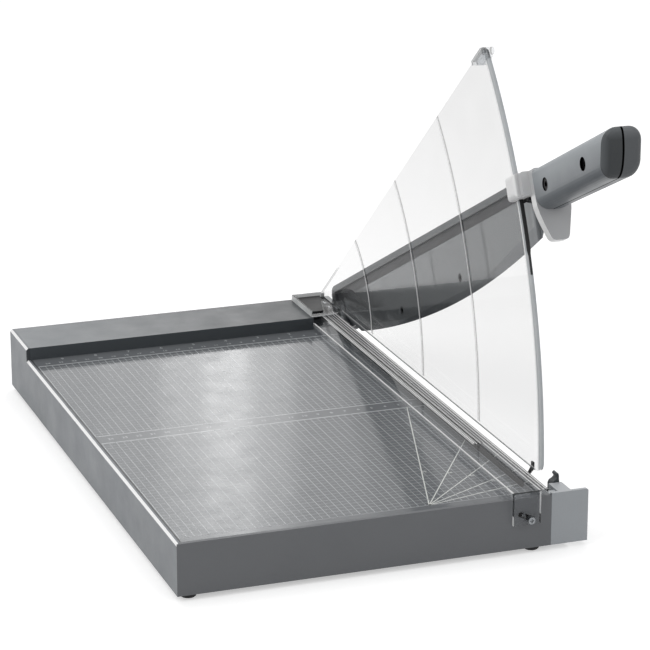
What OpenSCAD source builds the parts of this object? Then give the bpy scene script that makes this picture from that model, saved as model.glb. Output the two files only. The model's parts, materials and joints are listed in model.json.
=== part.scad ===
// Desk paper cutter: a flat printed table on a walled base, a hinged blade arm
// with a moulded handle, a clear quarter-circle guard whose arc guides the arm's
// collar, and a clear press bar that holds the paper.
// Millimetres, +X right, +Y to the back, +Z up. The origin is at the middle of
// the outline's length and width, on the surface that the feet stand on.

/* [Base] */
// Width of the base from the left side to the right end of the dark front wall
base_width = 252.5; // [240:0.5:270]
// Depth of the base from the front face to the back
base_depth = 433.3; // [420:0.1:450]
// Height of the base walls
base_height = 35; // [32:0.5:40]
// Thickness of the front, back and side walls
wall_thickness = 3; // [2.6:0.1:3.6]
// Width of the slope along the outer upper edge of the left side
edge_slope = 1.4; // [0.6:0.1:1.8]
// Thickness of the table plate
table_thickness = 3; // [2.4:0.1:3.6]
// Drop of the table below the upper edge of the walls
table_drop = 0.2; // [0.1:0.1:0.5]
// Depth of the raised rail at the back
rail_depth = 50.4; // [46:0.1:54]
// Height of the rail above the walls
rail_rise = 9.1; // [8:0.1:9.6]
// Thickness of the rail's skins
rail_skin = 2; // [1.6:0.1:2.4]
// Thickness of the ribs under the table
rib_thickness = 2; // [1.6:0.1:2.6]
// Thickness of the sheet that closes the base from below
bottom_thickness = 2; // [1.6:0.1:2.4]
// Diameter of a foot
foot_diameter = 11; // [9:0.5:12]
// Height of a foot
foot_height = 3.8; // [3:0.1:5]
// Distance of a foot's axis from the sides of the base
foot_inset = 9.5; // [9.5:0.1:12]
// Diameter of the screws of the bottom sheet
small_screw_diameter = 3; // [2.6:0.1:3.2]

/* [Cutting edge] */
// Thickness of the steel strip along the right side, the fixed edge
strip_thickness = 2.8; // [2.4:0.1:3.2]
// Height of the steel strip
strip_height = 25; // [20:0.5:28]
// Gap between the fixed edge and the moving blade
blade_gap = 0.1; // [0.05:0.05:0.2]
// Thickness of the moving blade
blade_thickness = 2; // [1.6:0.1:2.2]
// Depth of the blade's edge below the pivot line where it is deepest
blade_belly = 33.8; // [32:0.1:35]
// Distance from the pivot to the deepest place of the edge
belly_place = 225; // [215:1:235]
// Radius of the edge in front of its deepest place
belly_front_radius = 1134; // [1090:1:1180]
// Radius of the edge behind its deepest place
belly_rear_radius = 1341; // [1300:1:1400]
// Upper edge of the blade above the pivot line
blade_top = 10; // [9:0.1:11]
// Height of the ground slope along the edge
grind_height = 4.2; // [3:0.1:5]
// Diameter of the heads of the blade screws
blade_screw_head = 6; // [5:0.1:6.6]

/* [Arm] */
// Angle of the raised arm above the table
arm_angle = 26.05; // [20:0.05:30]
// Distance from the pivot to the back face of the base
pivot_from_back = 31.3; // [29:0.1:33]
// Height of the pivot above the walls
pivot_rise = 4.4; // [4:0.1:5]
// Height of the arm's top above the pivot line
arm_top = 22.8; // [22:0.1:24]
// Width of the arm from the blade face to its right side
arm_width = 10.6; // [10:0.1:12]
// Height of the arm's top flange
flange_height = 4.8; // [4.2:0.1:5.4]
// Thickness of the arm's web behind the blade
web_thickness = 2.4; // [2.2:0.1:2.4]
// Distance from the web's lower edge to the blade's edge
web_back_off = 7; // [6:0.1:8]
// Length of the arm behind the pivot
arm_tail = 17.5; // [17:0.1:19]
// Diameter of the pivot stud
stud_diameter = 8; // [7:0.1:8.4]
// Running gap between the stud and its bush
stud_gap = 0.06; // [0.04:0.01:0.08]

/* [Handle] */
// Distance from the pivot to the front of the handle
handle_reach = 525.6; // [516:0.1:534]
// Length of the dark cap at the end of the handle
cap_length = 4; // [3.4:0.1:6]
// Width of the handle at its end
handle_width = 26.5; // [25:0.1:28]
// Height of the handle at its end
handle_height = 28.9; // [28:0.1:30.5]
// Radius of the handle's long edges
handle_radius = 9; // [7:0.1:10]
// Diameter of the handle screws' sinkings
sink_diameter = 8.6; // [7.6:0.1:9]

/* [Collar] */
// Distance from the pivot to the back of the collar's block
block_start = 387; // [386:0.5:388]
// Distance from the pivot to the back of the collar's plate
plate_start = 405; // [405:0.5:406]
// Thickness of the collar's plate
plate_thickness = 7; // [6:0.1:8]
// Width of the collar's block
block_width = 12.2; // [11.8:0.1:12.3]
// Clearance on each side of the guard in the collar's slot
slot_gap = 0.5; // [0.4:0.1:0.7]

/* [Guard] */
// Radius of the guard's arc about the pivot
guard_radius = 392.8; // [391:0.1:394]
// Thickness of the clear sheet
guard_thickness = 2.5; // [2.2:0.1:2.7]
// Distance from the sheet's left face to the right end of the front wall
guard_inset = 3.7; // [3.6:0.1:3.8]
// Angle of the guard's upper edge
guard_angle = 39.3; // [38:0.1:41]
// Height of the upper edge above the pivot's own line
guard_lift = 26; // [25:0.1:28]
// Height of the guard's lower edge above the walls
guard_clear = 11.5; // [11:0.1:12.5]
// Spacing of the ribs on the sheet
guard_rib_pitch = 102.5; // [98:0.5:104]
// Height of the ribs on the sheet
guard_rib_height = 0.5; // [0.3:0.1:0.6]
// Width of a rib
guard_rib_width = 0.8; // [0.6:0.1:1]

/* [Press bar] */
// Width of the press bar
bar_width = 25.5; // [24:0.1:26]
// Thickness of its plate
bar_thickness = 2.5; // [2.2:0.1:2.7]
// Height of its underside above the table
bar_clear = 2.7; // [2.4:0.1:2.9]
// Height of its long ridges
ridge_height = 0.6; // [0.3:0.1:0.7]
// Width of a ridge
ridge_width = 1.4; // [1:0.1:1.6]
// Spacing of the ridges
ridge_pitch = 2.62; // [2.5:0.01:2.7]
// Way of the press bar along its slots
bar_travel = 6; // [5:0.1:6]
// Diameter of the clamping screw
clamp_screw_diameter = 3; // [2.6:0.1:3.2]

/* [End cap] */
// Width of the light end cap right of the front wall
cap_width = 26.7; // [26:0.1:28]
// Thickness of its front plate
cap_plate = 2.5; // [2.2:0.1:3]
// Depth of its block
cap_depth = 17; // [16.5:0.1:18]
// Thickness of the latch lever at its root
latch_width = 4.2; // [4:0.1:4.4]

/* [Hidden] */
$fn = 64;
arc_steps = 96;
over = 1;

rail_front = base_depth - rail_depth;
rail_top = base_height + rail_rise;
table_top = base_height - table_drop;
table_bottom = table_top - table_thickness;
pivot_y = base_depth - pivot_from_back;
pivot_z = base_height + pivot_rise;

guard_x = base_width - guard_inset;
guard_right = guard_x + guard_thickness;
guard_bottom = base_height + guard_clear;
strip_right = base_width + strip_thickness;
blade_x = strip_right + blade_gap;
web_x = blade_x + blade_thickness;
web_right = web_x + web_thickness;
arm_right = blade_x + arm_width;
lug_x = guard_right + 0.1;
plate_end = plate_start + plate_thickness;
blade_reach = plate_start - 0.5;
handle_root = plate_end;
cap_start = handle_reach - cap_length;
part_x = blade_x + handle_width * 0.294;
bar_right = base_width - 2.5;
bar_left = bar_right - bar_width;
bar_bottom = table_top + bar_clear;
bar_top = bar_bottom + bar_thickness;
well_left = base_width - 27;
well_back = base_depth - 5.8;
seat_gap = 0.1;
free_gap = 0.3;
screw_gap = 0.05;

// Where the outline of the whole object has its middle: the handle's end is plumb
// when the arm is up, so all of its face reaches as far to the front.
handle_low = -5.2;
handle_mid = handle_low + handle_height / 2;
front_reach = handle_reach * cos(arm_angle) - handle_mid * sin(arm_angle) - pivot_y;
origin_x = (base_width + cap_width) / 2;
origin_y = (base_depth - front_reach) / 2;

// Direction of the press bar's way.
slide_run = 0.882;
slide_rise = 0.471;

// placing

module placed() translate([-origin_x, -origin_y, foot_height]) children();

module at_pivot() placed() translate([0, pivot_y, pivot_z]) children();

module on_arm() at_pivot() rotate([-arm_angle, 0, 0]) children();

// A drawing in (Y, Z), drawn out along +X from x.
module to_right(x, length)
  translate([x, 0, 0]) rotate([90, 0, 90]) linear_extrude(length) children();

// A drawing in (X, Z), drawn out along +Y from y.
module to_back(y, length)
  translate([0, y + length, 0]) rotate([90, 0, 0]) linear_extrude(length) children();

// A drawing in (X, Y), drawn out along +Z from z.
module upward(z, height) translate([0, 0, z]) linear_extrude(height) children();

// A drawing in (along the arm, above its line), drawn out along +X from x.
module arm_side(x, length)
  translate([x + length, 0, 0]) rotate([90, 0, -90]) linear_extrude(length) children();

// A drawing in (X, above the arm's line), drawn out along the arm from a.
module arm_across(a, length)
  translate([0, -a, 0]) rotate([90, 0, 0]) linear_extrude(length) children();

module block(x0, x1, y0, y1, z0, z1)
  translate([x0, y0, z0]) cube([x1 - x0, y1 - y0, z1 - z0]);

module rod_x(x0, x1, y, z, r)
  translate([x0, y, z]) rotate([0, 90, 0]) cylinder(h = x1 - x0, r = r);

module rod_y(y0, y1, x, z, r)
  translate([x, y1, z]) rotate([90, 0, 0]) cylinder(h = y1 - y0, r = r);

module rod_z(z0, z1, x, y, r) translate([x, y, z0]) cylinder(h = z1 - z0, r = r);

// drawings

function arc(x, y, r, from, to, steps) =
  [for (i = [0:steps]) let (t = from + (to - from) * i / steps) [x + r * cos(t), y + r * sin(t)]];

function round_rect(x0, y0, x1, y1, r, steps = 10) = concat(
  arc(x1 - r, y0 + r, r, -90, 0, steps), arc(x1 - r, y1 - r, r, 0, 90, steps),
  arc(x0 + r, y1 - r, r, 90, 180, steps), arc(x0 + r, y0 + r, r, 180, 270, steps));

// The blade's edge at the distance a from the pivot.
function belly(a) =
  -blade_belly + pow(a - belly_place, 2)
    / (2 * (a > belly_place ? belly_front_radius : belly_rear_radius));

// A place on the guard's arc: (Y, Z) about the pivot.
function on_arc(r, t) = [-r * cos(t), r * sin(t)];

blade_tail = 39;
blade_shoulder = 10.5;
web_bottom_tail = -14;

module blade_drawing() polygon(concat(
  [[blade_shoulder, blade_top], [blade_shoulder, -blade_shoulder / 2], [blade_tail, belly(blade_tail)]],
  [for (i = [1:arc_steps - 1]) let (a = blade_tail + (blade_reach - blade_tail) * i / arc_steps) [a, belly(a)]],
  [[blade_reach, belly(blade_reach)], [blade_reach, blade_top]]));

blade_screw_places = [132, 254.5];
blade_screw_drop = [-20.6, -18.5];

// base

panel_drawing = [
  [0, 0], [base_depth, 0], [base_depth, rail_top], [rail_front, rail_top],
  [rail_front, base_height], [0, base_height]];

module left_panel() color("#8d9194") placed() difference() {
  intersection() {
    to_right(0, wall_thickness) polygon(panel_drawing);
    upward(0, rail_top) polygon([[0, 0], [wall_thickness, wall_thickness],
      [wall_thickness, base_depth], [0, base_depth]]);
  }
  to_back(-over, rail_front + over) polygon([[-over, base_height - edge_slope - over],
    [-over, base_height + over], [edge_slope + over, base_height + over]]);
  to_back(rail_front - over, rail_depth + 2 * over) polygon([[-over, rail_top - edge_slope - over],
    [-over, rail_top + over], [edge_slope + over, rail_top + over]]);
}

clamp_x = base_width - 15.7;
clamp_z = base_height - 13.8;
front_radius = 1.5;
wall_lip = 0.8;
slot_half = clamp_screw_diameter / 2 + free_gap;

way_turn = 180 - atan2(slide_rise, slide_run);

// A slot of the half width r for the press bar's way.
module way(r) polygon(concat(
  arc(0, 0, r, way_turn + 90, way_turn + 270, 24),
  arc(bar_travel * cos(way_turn), bar_travel * sin(way_turn), r, way_turn - 90, way_turn + 90, 24)));

module front_wall() color("#5f6164") placed() difference() {
  intersection() {
    to_back(0, wall_thickness) difference() {
      polygon(concat([[0, 0], [base_width + wall_lip, 0]],
        arc(base_width + wall_lip - front_radius, base_height - front_radius, front_radius, 0, 90, 8),
        [[0, base_height]]));
      translate([clamp_x, clamp_z]) way(slot_half);
    }
    upward(0, base_height) polygon([[0, 0], [base_width + wall_lip, 0],
      [base_width + wall_lip, wall_thickness], [wall_thickness, wall_thickness]]);
  }
}

strip_front = 19;
strip_back = rail_front + 2;
strip_screw_y = [for (k = [0:4]) strip_front + 16 + k * (strip_back - strip_front - 32) / 4];
strip_screw_z = base_height - strip_height / 2;
bracket_front = strip_back + 0.2;
bracket_screw_y = [bracket_front + 8, base_depth - 10];
bracket_screw_z = base_height - 19;
m4_radius = 2;

module right_wall() color("#4b4e51") placed() difference() {
  block(base_width - wall_thickness, base_width, wall_thickness, base_depth - wall_thickness,
    0, table_bottom);
  for (y = strip_screw_y)
    rod_x(base_width - wall_thickness - over, base_width + over, y, strip_screw_z, m4_radius + screw_gap);
  for (y = bracket_screw_y)
    rod_x(base_width - wall_thickness - over, base_width + over, y, bracket_screw_z, m4_radius + screw_gap);
  for (z = cap_screw_z)
    rod_x(base_width - wall_thickness - over, base_width + over, cap_screw_y, z, m4_radius + screw_gap);
}

module rear_wall() color("#4b4e51") placed()
  block(wall_thickness, base_width, base_depth - wall_thickness, base_depth, 0, table_top);

module table_plate() color("#6d7073") placed()
  block(wall_thickness, base_width, wall_thickness, base_depth - wall_thickness,
    table_bottom, table_top);

tab_front = pivot_y + 6;
tab_back = base_depth - 2.2;
rail_right = guard_x - 0.2;

module rear_rail() color("#85888b") placed() difference() {
  union() {
    difference() {
      block(wall_thickness, rail_right, rail_front, base_depth, table_top, rail_top);
      block(wall_thickness + rail_skin, rail_right + over, rail_front + rail_skin,
        base_depth - rail_skin, table_top - over, rail_top - rail_skin);
    }
    block(rail_right - over, guard_right, base_depth - rail_skin, base_depth, table_top, rail_top);
    // ribs across the hollow
    for (k = [1:4]) let (x = well_left * (1 - k * 0.22))
      block(x, x + rib_thickness, rail_front + rail_skin, base_depth - rail_skin, table_top,
        rail_top - rail_skin);
    block(well_left - rail_skin, well_left, rail_front, base_depth - rail_skin, table_top, rail_top);
  }
  block(well_left, rail_right + over, rail_front - over, well_back, table_top - over, rail_top + over);
  // room for the heads of the guard's screws
  for (y = guard_screw_y)
    rod_x(guard_x - guard_screw_head - seat_gap, guard_x + over, y, guard_screw_z,
      small_screw_diameter * 0.9 + seat_gap);
}

boss_x = [for (share = [0.119, 0.5, 0.879]) base_width * share];
boss_y = [for (share = [0.1385, 0.4985, 0.854]) base_depth * share];
boss_radius = 4;
frame_x = [for (share = [0.2455, 0.5, 0.7525]) base_width * share];
frame_y = [for (share = [0.196, 0.369, 0.4985, 0.669, 0.854]) base_depth * share];

module base_frame() color("#4b4e51") placed() difference() {
  union() {
    for (x = frame_x)
      block(x - rib_thickness / 2, x + rib_thickness / 2, wall_thickness,
        base_depth - wall_thickness, bottom_thickness, table_bottom);
    for (y = frame_y)
      block(wall_thickness, base_width - wall_thickness, y - rib_thickness / 2,
        y + rib_thickness / 2, bottom_thickness, table_bottom);
    for (x = boss_x, y = [boss_y[1], boss_y[2]])
      rod_z(bottom_thickness, table_bottom, x, y, boss_radius);
    for (x = boss_x) {
      rod_z(bottom_thickness, table_bottom, x, boss_y[0], boss_radius);
      block(x - rib_thickness / 2, x + rib_thickness / 2, boss_y[0], frame_y[0],
        bottom_thickness, table_bottom);
    }
  }
  for (x = boss_x, y = boss_y)
    rod_z(bottom_thickness - over, table_bottom - 5, x, y, small_screw_diameter / 2 + screw_gap);
  // room for the clamping screw and for the screws of the right side
  block(base_width - wall_thickness - 5, base_width, wall_thickness, rail_front + 45,
    bottom_screw_room, table_bottom - 5);
}
bottom_screw_room = 8;

module bottom_cover() color("#3a3d40") placed() difference() {
  block(wall_thickness, base_width - wall_thickness, wall_thickness,
    base_depth - wall_thickness, 0, bottom_thickness);
  for (x = boss_x, y = boss_y) {
    rod_z(-over, bottom_thickness + over, x, y, small_screw_diameter / 2 + screw_gap);
    rod_z(-over, bottom_thickness * head_share, x, y, small_screw_diameter + screw_gap);
  }
}
head_share = 0.6;

module bottom_screws() color("#b9bcbf") placed() for (x = boss_x, y = boss_y) difference() {
  union() {
    rod_z(0, bottom_thickness * head_share, x, y, small_screw_diameter);
    rod_z(0, bottom_thickness + 12, x, y, small_screw_diameter / 2);
  }
  cross_recess(x, y, small_screw_diameter);
}

// A cross-shaped recess in a screw head that faces down.
module cross_recess(x, y, r) translate([x, y, -over]) for (t = [0, 90]) rotate(t)
  translate([-r * 0.6, -r * 0.12, 0]) cube([r * 1.2, r * 0.24, over + r * 0.25]);

foot_places = [for (x = [foot_inset, base_width - foot_inset],
  y = [foot_inset - over, base_depth - foot_inset]) [x, y]];
foot_share = 0.8;

module feet() color("#17181a") placed() for (p = foot_places)
  translate([p[0], p[1], -foot_height]) rotate_extrude() polygon([
    [0, 0], [foot_diameter / 2 * foot_share, 0],
    [foot_diameter / 2 * 0.93, foot_height * 0.18], [foot_diameter / 2, foot_height * 0.5],
    [foot_diameter / 2, foot_height], [0, foot_height]]);

// fixed edge

strip_bottom = base_height - strip_height;
m4_head = 3.6;

module flush_screw_hole(y, z) {
  rod_x(base_width - over, strip_right + over, y, z, m4_radius + screw_gap);
  translate([strip_right, y, z]) rotate([0, -90, 0])
    cylinder(h = m4_head - m4_radius, r1 = m4_head + screw_gap, r2 = m4_radius + screw_gap);
}

module counter_blade() color("#c3c6c9") placed() difference() {
  to_back(strip_front, strip_back - strip_front) polygon([[base_width, strip_bottom],
    [strip_right, strip_bottom], [strip_right, base_height],
    [base_width + strip_thickness / 3, base_height], [base_width, base_height - table_drop]]);
  for (y = strip_screw_y) flush_screw_hole(y, strip_screw_z);
}

module flush_screw(x0, y, z) difference() {
  union() {
    rod_x(x0, strip_right, y, z, m4_radius);
    translate([strip_right, y, z]) rotate([0, -90, 0])
      cylinder(h = m4_head - m4_radius, r1 = m4_head, r2 = m4_radius);
  }
  translate([strip_right - m4_head / 3, y, z]) rotate([0, 90, 0])
    cylinder(h = m4_head, r = m4_radius * 0.7, $fn = 6);
}

module counter_blade_screws() color("#9a9da0") placed()
  for (y = strip_screw_y) flush_screw(base_width - wall_thickness - 3, y, strip_screw_z);

// end cap and latch

cap_right_x = base_width + cap_width;
cap_block_right = base_width + 15;
cap_top = base_height + 1;
lane_right = web_x + 1;
cap_foot_z = base_height - 10;
cap_screw_y = 12.5;
cap_screw_z = [8, 18];
bridge_depth = 8;
bridge_drop = 1.2;
latch_x = web_right + 0.4;
latch_axis_x = latch_x + latch_width / 2;
latch_z = base_height - 11;
latch_front = cap_depth + 0.4;
latch_depth = 6;
latch_back = latch_front + latch_depth;
latch_y = latch_front + latch_depth / 2;
latch_pin_radius = 1.5;
latch_round = 2.7;
ear_front = latch_back + free_gap;
ear_back = ear_front + 3;
ear_top = latch_z + 4.5;
ear_floor = latch_z - latch_round - 2;

module end_cap() color("#9a9ea1") placed() difference() {
  union() {
    to_back(0, cap_plate) polygon(concat([[base_width, 0], [cap_right_x, 0]],
      arc(cap_right_x - front_radius, cap_top - front_radius, front_radius, 0, 90, 8),
      [[base_width, cap_top]]));
    // the bridge, lower where the blade's end comes down
    block(base_width, lane_right + over, cap_plate - over, bridge_depth, 0, cap_top - bridge_drop);
    block(base_width, cap_block_right, bridge_depth - over, cap_depth, 0, cap_foot_z);
    block(lane_right, cap_block_right, cap_plate - over, cap_depth, 0, cap_top);
    block(cap_right_x - rib_thickness, cap_right_x, cap_plate - over, cap_depth * 0.6, 0,
      base_height * 0.8);
    // floor and ear behind the block, which carry the latch
    block(lane_right, cap_block_right, cap_depth - over, ear_back, 0, ear_floor);
    block(lane_right, cap_block_right, ear_front, ear_back, 0, ear_top);
  }
  block(base_width - over, base_width + wall_lip, -over, wall_thickness, -over, cap_top + over);
  rod_y(cap_depth - cap_plate, ear_back + over, latch_axis_x, latch_z, latch_pin_radius);
  for (z = cap_screw_z) {
    rod_x(base_width - over, cap_block_right + over, cap_screw_y, z, m4_radius + screw_gap);
    rod_x(base_width + 5, cap_block_right + over, cap_screw_y, z, m4_head + screw_gap);
  }
}

module end_cap_screws() color("#9a9da0") placed() for (z = cap_screw_z) difference() {
  union() {
    rod_x(base_width - wall_thickness - 4, base_width + 5, cap_screw_y, z, m4_radius);
    rod_x(base_width + 5, base_width + 7.4, cap_screw_y, z, m4_head);
  }
  translate([base_width + 6, cap_screw_y, z]) rotate([0, 90, 0])
    cylinder(h = m4_head, r = m4_radius * 0.8, $fn = 6);
}

// The lever, seen from the front: a thin fin whose tip has a hook on its left side.
latch_high = base_height + 7.2;
latch_drawing = [[-0.43, 0.3], [-0.43, 0.58], [-0.36, 0.63], [-0.16, 0.69], [0.24, 0.74],
  [0.5, 0.8], [0.52, 0.86], [0.34, 0.885], [0.3, 0.92], [0.36, 0.965], [0.5, 0.99],
  [0.66, 1], [0.8, 0.965], [0.86, 0.88], [0.88, 0.76], [0.93, 0.66], [0.94, 0.58], [0.6, 0.4],
  [0.5, 0.2]];

module latch_lever() color("#3b3f43") placed() difference() {
  union() {
    rod_y(latch_front, latch_back, latch_axis_x, latch_z, latch_round);
    to_back(latch_front, latch_depth) polygon([for (p = latch_drawing)
      [latch_axis_x + p[0] * latch_width, latch_z + p[1] * (latch_high - latch_z)]]);
    to_back(latch_front, latch_depth) polygon([[latch_axis_x - latch_round, latch_z],
      [latch_axis_x + latch_round, latch_z],
      [latch_axis_x + 0.6 * latch_width, latch_z + 0.4 * (latch_high - latch_z)],
      [latch_axis_x - 0.43 * latch_width, latch_z + 0.4 * (latch_high - latch_z)]]);
  }
  rod_y(latch_front - over, latch_back + over, latch_axis_x, latch_z, latch_pin_radius + stud_gap);
}

module latch_pin() color("#9a9da0") placed()
  rod_y(cap_depth - cap_plate, ear_back, latch_axis_x, latch_z, latch_pin_radius);

// pivot

stud_radius = stud_diameter / 2;
bush_radius = stud_radius + 2;
bush_start = blade_x + 0.15;
lug_radius = 9.6;

module pivot_bracket() color("#a7aaad") placed() difference() {
  union() {
    to_right(base_width, strip_thickness) polygon([
      [bracket_front, strip_bottom / 2], [base_depth, strip_bottom / 2],
      [base_depth, base_height + over], [bracket_front, base_height + over]]);
    to_right(lug_x, strip_right - lug_x) polygon(concat(
      [[base_depth, base_height + 0.1], [base_depth, rail_top]],
      arc(pivot_y, pivot_z, lug_radius, 30, 180, 40),
      [[pivot_y - lug_radius, base_height + 0.1]]));
  }
  for (y = bracket_screw_y) flush_screw_hole(y, bracket_screw_z);
  rod_x(lug_x - over, strip_right + over, pivot_y, pivot_z, stud_radius + screw_gap);
  for (y = guard_screw_y)
    rod_x(lug_x - over, strip_right + over, y, guard_screw_z, small_screw_diameter / 2 + screw_gap);
}

module bracket_screws() color("#9a9da0") placed()
  for (y = bracket_screw_y) flush_screw(base_width - wall_thickness - 3, y, bracket_screw_z);

washer_x = arm_right + 0.2;
washer_thickness = 1.6;
nut_x = washer_x + washer_thickness;
nut_height = 6;

module pivot_stud() color("#a7aaad") placed() difference() {
  rod_x(lug_x, nut_x + nut_height + 1.5, pivot_y, pivot_z, stud_radius);
  // a bevelled end
  translate([nut_x + nut_height + 1.5, pivot_y, pivot_z]) rotate([0, -90, 0]) difference() {
    cylinder(h = over, r = stud_radius + over);
    translate([0, 0, -over]) cylinder(h = 2 * over, r1 = stud_radius - 1.6, r2 = stud_radius + 0.4);
  }
}

module pivot_bush() color("#b08d4f") placed() difference() {
  rod_x(bush_start, arm_right, pivot_y, pivot_z, bush_radius);
  rod_x(bush_start - over, arm_right + over, pivot_y, pivot_z, stud_radius + stud_gap);
}

module pivot_washer() color("#b9bcbf") placed() difference() {
  rod_x(washer_x, nut_x, pivot_y, pivot_z, stud_diameter + 1);
  rod_x(washer_x - over, nut_x + over, pivot_y, pivot_z, stud_radius + screw_gap);
}

module pivot_nut() color("#b9bcbf") placed() difference() {
  intersection() {
    translate([nut_x, pivot_y, pivot_z]) rotate([0, 90, 0])
      cylinder(h = nut_height, r = stud_radius * 1.88, $fn = 6);
    translate([nut_x, pivot_y, pivot_z]) rotate([0, 90, 0])
      cylinder(h = nut_height, r1 = stud_radius * 1.88, r2 = stud_radius * 1.72);
  }
  rod_x(nut_x - over, nut_x + nut_height + over, pivot_y, pivot_z, stud_radius + screw_gap);
}

// cover and guide of the press bar

cover_left = base_width - 28;
cover_front = rail_front + 1.6;
cover_back = base_depth - 1.6;
cover_right = guard_x - 0.25;
cover_top = rail_top + 4.4;
cover_floor = 1;
rim = 1.3;
cover_ease = 3;
inlay_corner = base_width - 15.8;
cover_plan = concat(arc(cover_left + cover_ease, cover_front + cover_ease, cover_ease, 180, 270, 6),
  arc(cover_right - 2 * cover_ease, cover_front + 2 * cover_ease + 1.6, 2 * cover_ease, 270, 360, 8),
  [[cover_right, cover_back], [cover_left, cover_back]]);

module clamp_cover() color([0.86, 0.88, 0.9, 0.4]) placed() union() {
  upward(rail_top, cover_floor) polygon(cover_plan);
  block(cover_left, cover_left + rim, cover_front + cover_ease, cover_back, rail_top, cover_top);
  block(cover_left, cover_right, cover_back - rim, cover_back, rail_top, cover_top);
}

module cover_plate() color("#5b5d60") placed()
  upward(rail_top + cover_floor, cover_floor) polygon([
    [cover_left + 2.5 * rim, cover_front + 6 * rim], [inlay_corner, cover_front + 6 * rim],
    [cover_right - rim, cover_back - rim - seat_gap], [cover_left + 2.5 * rim, cover_back - rim - seat_gap]]);

guide_front = pivot_y + 4;
guide_x = base_width - 9.5;
guide_z = base_height + 3.2;
guide_pin_radius = 1.2;

module guide_block() color("#242628") placed() difference() {
  block(well_left + seat_gap, rail_right - 3, guide_front, well_back - seat_gap,
    table_top, rail_top);
  to_back(guide_front - over, 9)
    translate([guide_x, guide_z]) way(guide_pin_radius + free_gap);
  block(well_left + 3, rail_right - 6, guide_front + 10, well_back - 3, table_top - over,
    rail_top - 2);
}

// guard

corner = 7;
guard_low = guard_bottom - pivot_z;
foot_low = rail_top + 0.1 - pivot_z;
tab_low = base_height + 1 - pivot_z;
guard_screw_y = [tab_front + 5, tab_back - 5];
guard_screw_z = base_height + 4.8;
guard_screw_head = 1.9;

// The upper edge's place at the distance d along it.
function upper(d) = [-d * cos(guard_angle) + guard_lift * sin(guard_angle),
  d * sin(guard_angle) + guard_lift * cos(guard_angle)];

upper_length = sqrt(guard_radius * guard_radius - guard_lift * guard_lift);
arc_top = guard_angle + asin(guard_lift / guard_radius) - 0.55;
arc_low = asin((guard_low + corner) / guard_radius) + 0.2;
tail_y = tab_back - pivot_y;
tail_d = (guard_lift * sin(guard_angle) - tail_y) / cos(guard_angle);
corner_y = -sqrt(guard_radius * guard_radius - pow(guard_low + corner, 2)) + corner;

module guard_drawing() polygon(concat(
  [for (i = [0:arc_steps]) on_arc(guard_radius, arc_top + (arc_low - arc_top) * i / arc_steps)],
  arc(corner_y, guard_low + corner, corner, 180, 270, 12),
  [[rail_front + over - pivot_y, guard_low], [rail_front + 2 * over - pivot_y, foot_low],
   [tab_front - pivot_y, foot_low], [tab_front - pivot_y, tab_low], [tail_y, tab_low],
   upper(tail_d), upper(upper_length - corner / 2)]));

module ring(r, from, to) polygon(concat(
  [for (i = [0:24]) on_arc(r - guard_rib_width / 2, from + (to - from) * i / 24)],
  [for (i = [24:-1:0]) on_arc(r + guard_rib_width / 2, from + (to - from) * i / 24)]));

band_height = 1.6;
function rib_top(r) = guard_angle + asin((guard_lift - 0.5) / r);
function rib_low(r) = asin((guard_low + band_height + 0.6) / r);

module guard() color([0.86, 0.88, 0.9, 0.35]) difference() {
  union() {
    at_pivot() to_right(guard_x, guard_thickness) guard_drawing();
    at_pivot() for (k = [1:3], s = [-1, 1]) let (r = guard_radius - k * guard_rib_pitch + s * 1.1)
      to_right(guard_x - guard_rib_height, guard_rib_height + over)
        ring(r, rib_low(r), rib_top(r));
    // a thicker band along the lower edge
    at_pivot() to_right(guard_x - guard_rib_height, guard_rib_height + over) polygon([
      [corner_y + over, guard_low], [rail_front - pivot_y - over, guard_low],
      [rail_front - pivot_y - over, guard_low + band_height], [corner_y + over, guard_low + band_height]]);
  }
  placed() for (y = guard_screw_y)
    rod_x(guard_x - over, guard_right + over, y, guard_screw_z, small_screw_diameter / 2 + screw_gap);
}

module guard_screws() color("#9a9da0") placed() for (y = guard_screw_y) difference() {
  union() {
    rod_x(guard_x - guard_screw_head, guard_x, y, guard_screw_z, small_screw_diameter * 0.9);
    rod_x(guard_x - over, strip_right - 0.2, y, guard_screw_z, small_screw_diameter / 2);
  }
  for (t = [0, 90]) translate([guard_x - guard_screw_head - over, y, guard_screw_z]) rotate([t, 0, 0])
    translate([0, -1.6, -0.35]) cube([over + 0.9, 3.2, 0.7]);
}

// The dark friction strip on the guard's arc: wide where the collar rests, then narrow.
strip_rise = 0.9;
strip_mid = guard_x + guard_thickness / 2;
brake_from = arm_angle + 2.8;
brake_turn = arm_angle - 3.65;
brake_to = arm_angle - 5.95;
brake_wide = guard_thickness * 0.96;
brake_thin = guard_thickness * 0.42;

module brake_strip() color("#101112") intersection() {
  at_pivot() to_right(strip_mid - brake_wide / 2, brake_wide) polygon(concat(
    [for (i = [0:24]) on_arc(guard_radius, brake_from + (brake_to - brake_from) * i / 24)],
    [for (i = [24:-1:0]) on_arc(guard_radius + strip_rise, brake_from + (brake_to - brake_from) * i / 24)]));
  at_pivot() rotate([-brake_turn, 0, 0]) union() {
    arm_across(guard_radius - 20, 40) polygon([
      [strip_mid - brake_wide / 2, 0], [strip_mid + brake_wide / 2, 0],
      [strip_mid + brake_wide / 2, 60], [strip_mid - brake_wide / 2, 60]]);
    arm_across(guard_radius - 20, 40) polygon([
      [strip_mid - brake_wide / 2, 0.01], [strip_mid - brake_thin / 2, -4],
      [strip_mid - brake_thin / 2, -40], [strip_mid + brake_thin / 2, -40],
      [strip_mid + brake_thin / 2, -4], [strip_mid + brake_wide / 2, 0.01]]);
  }
}

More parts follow.
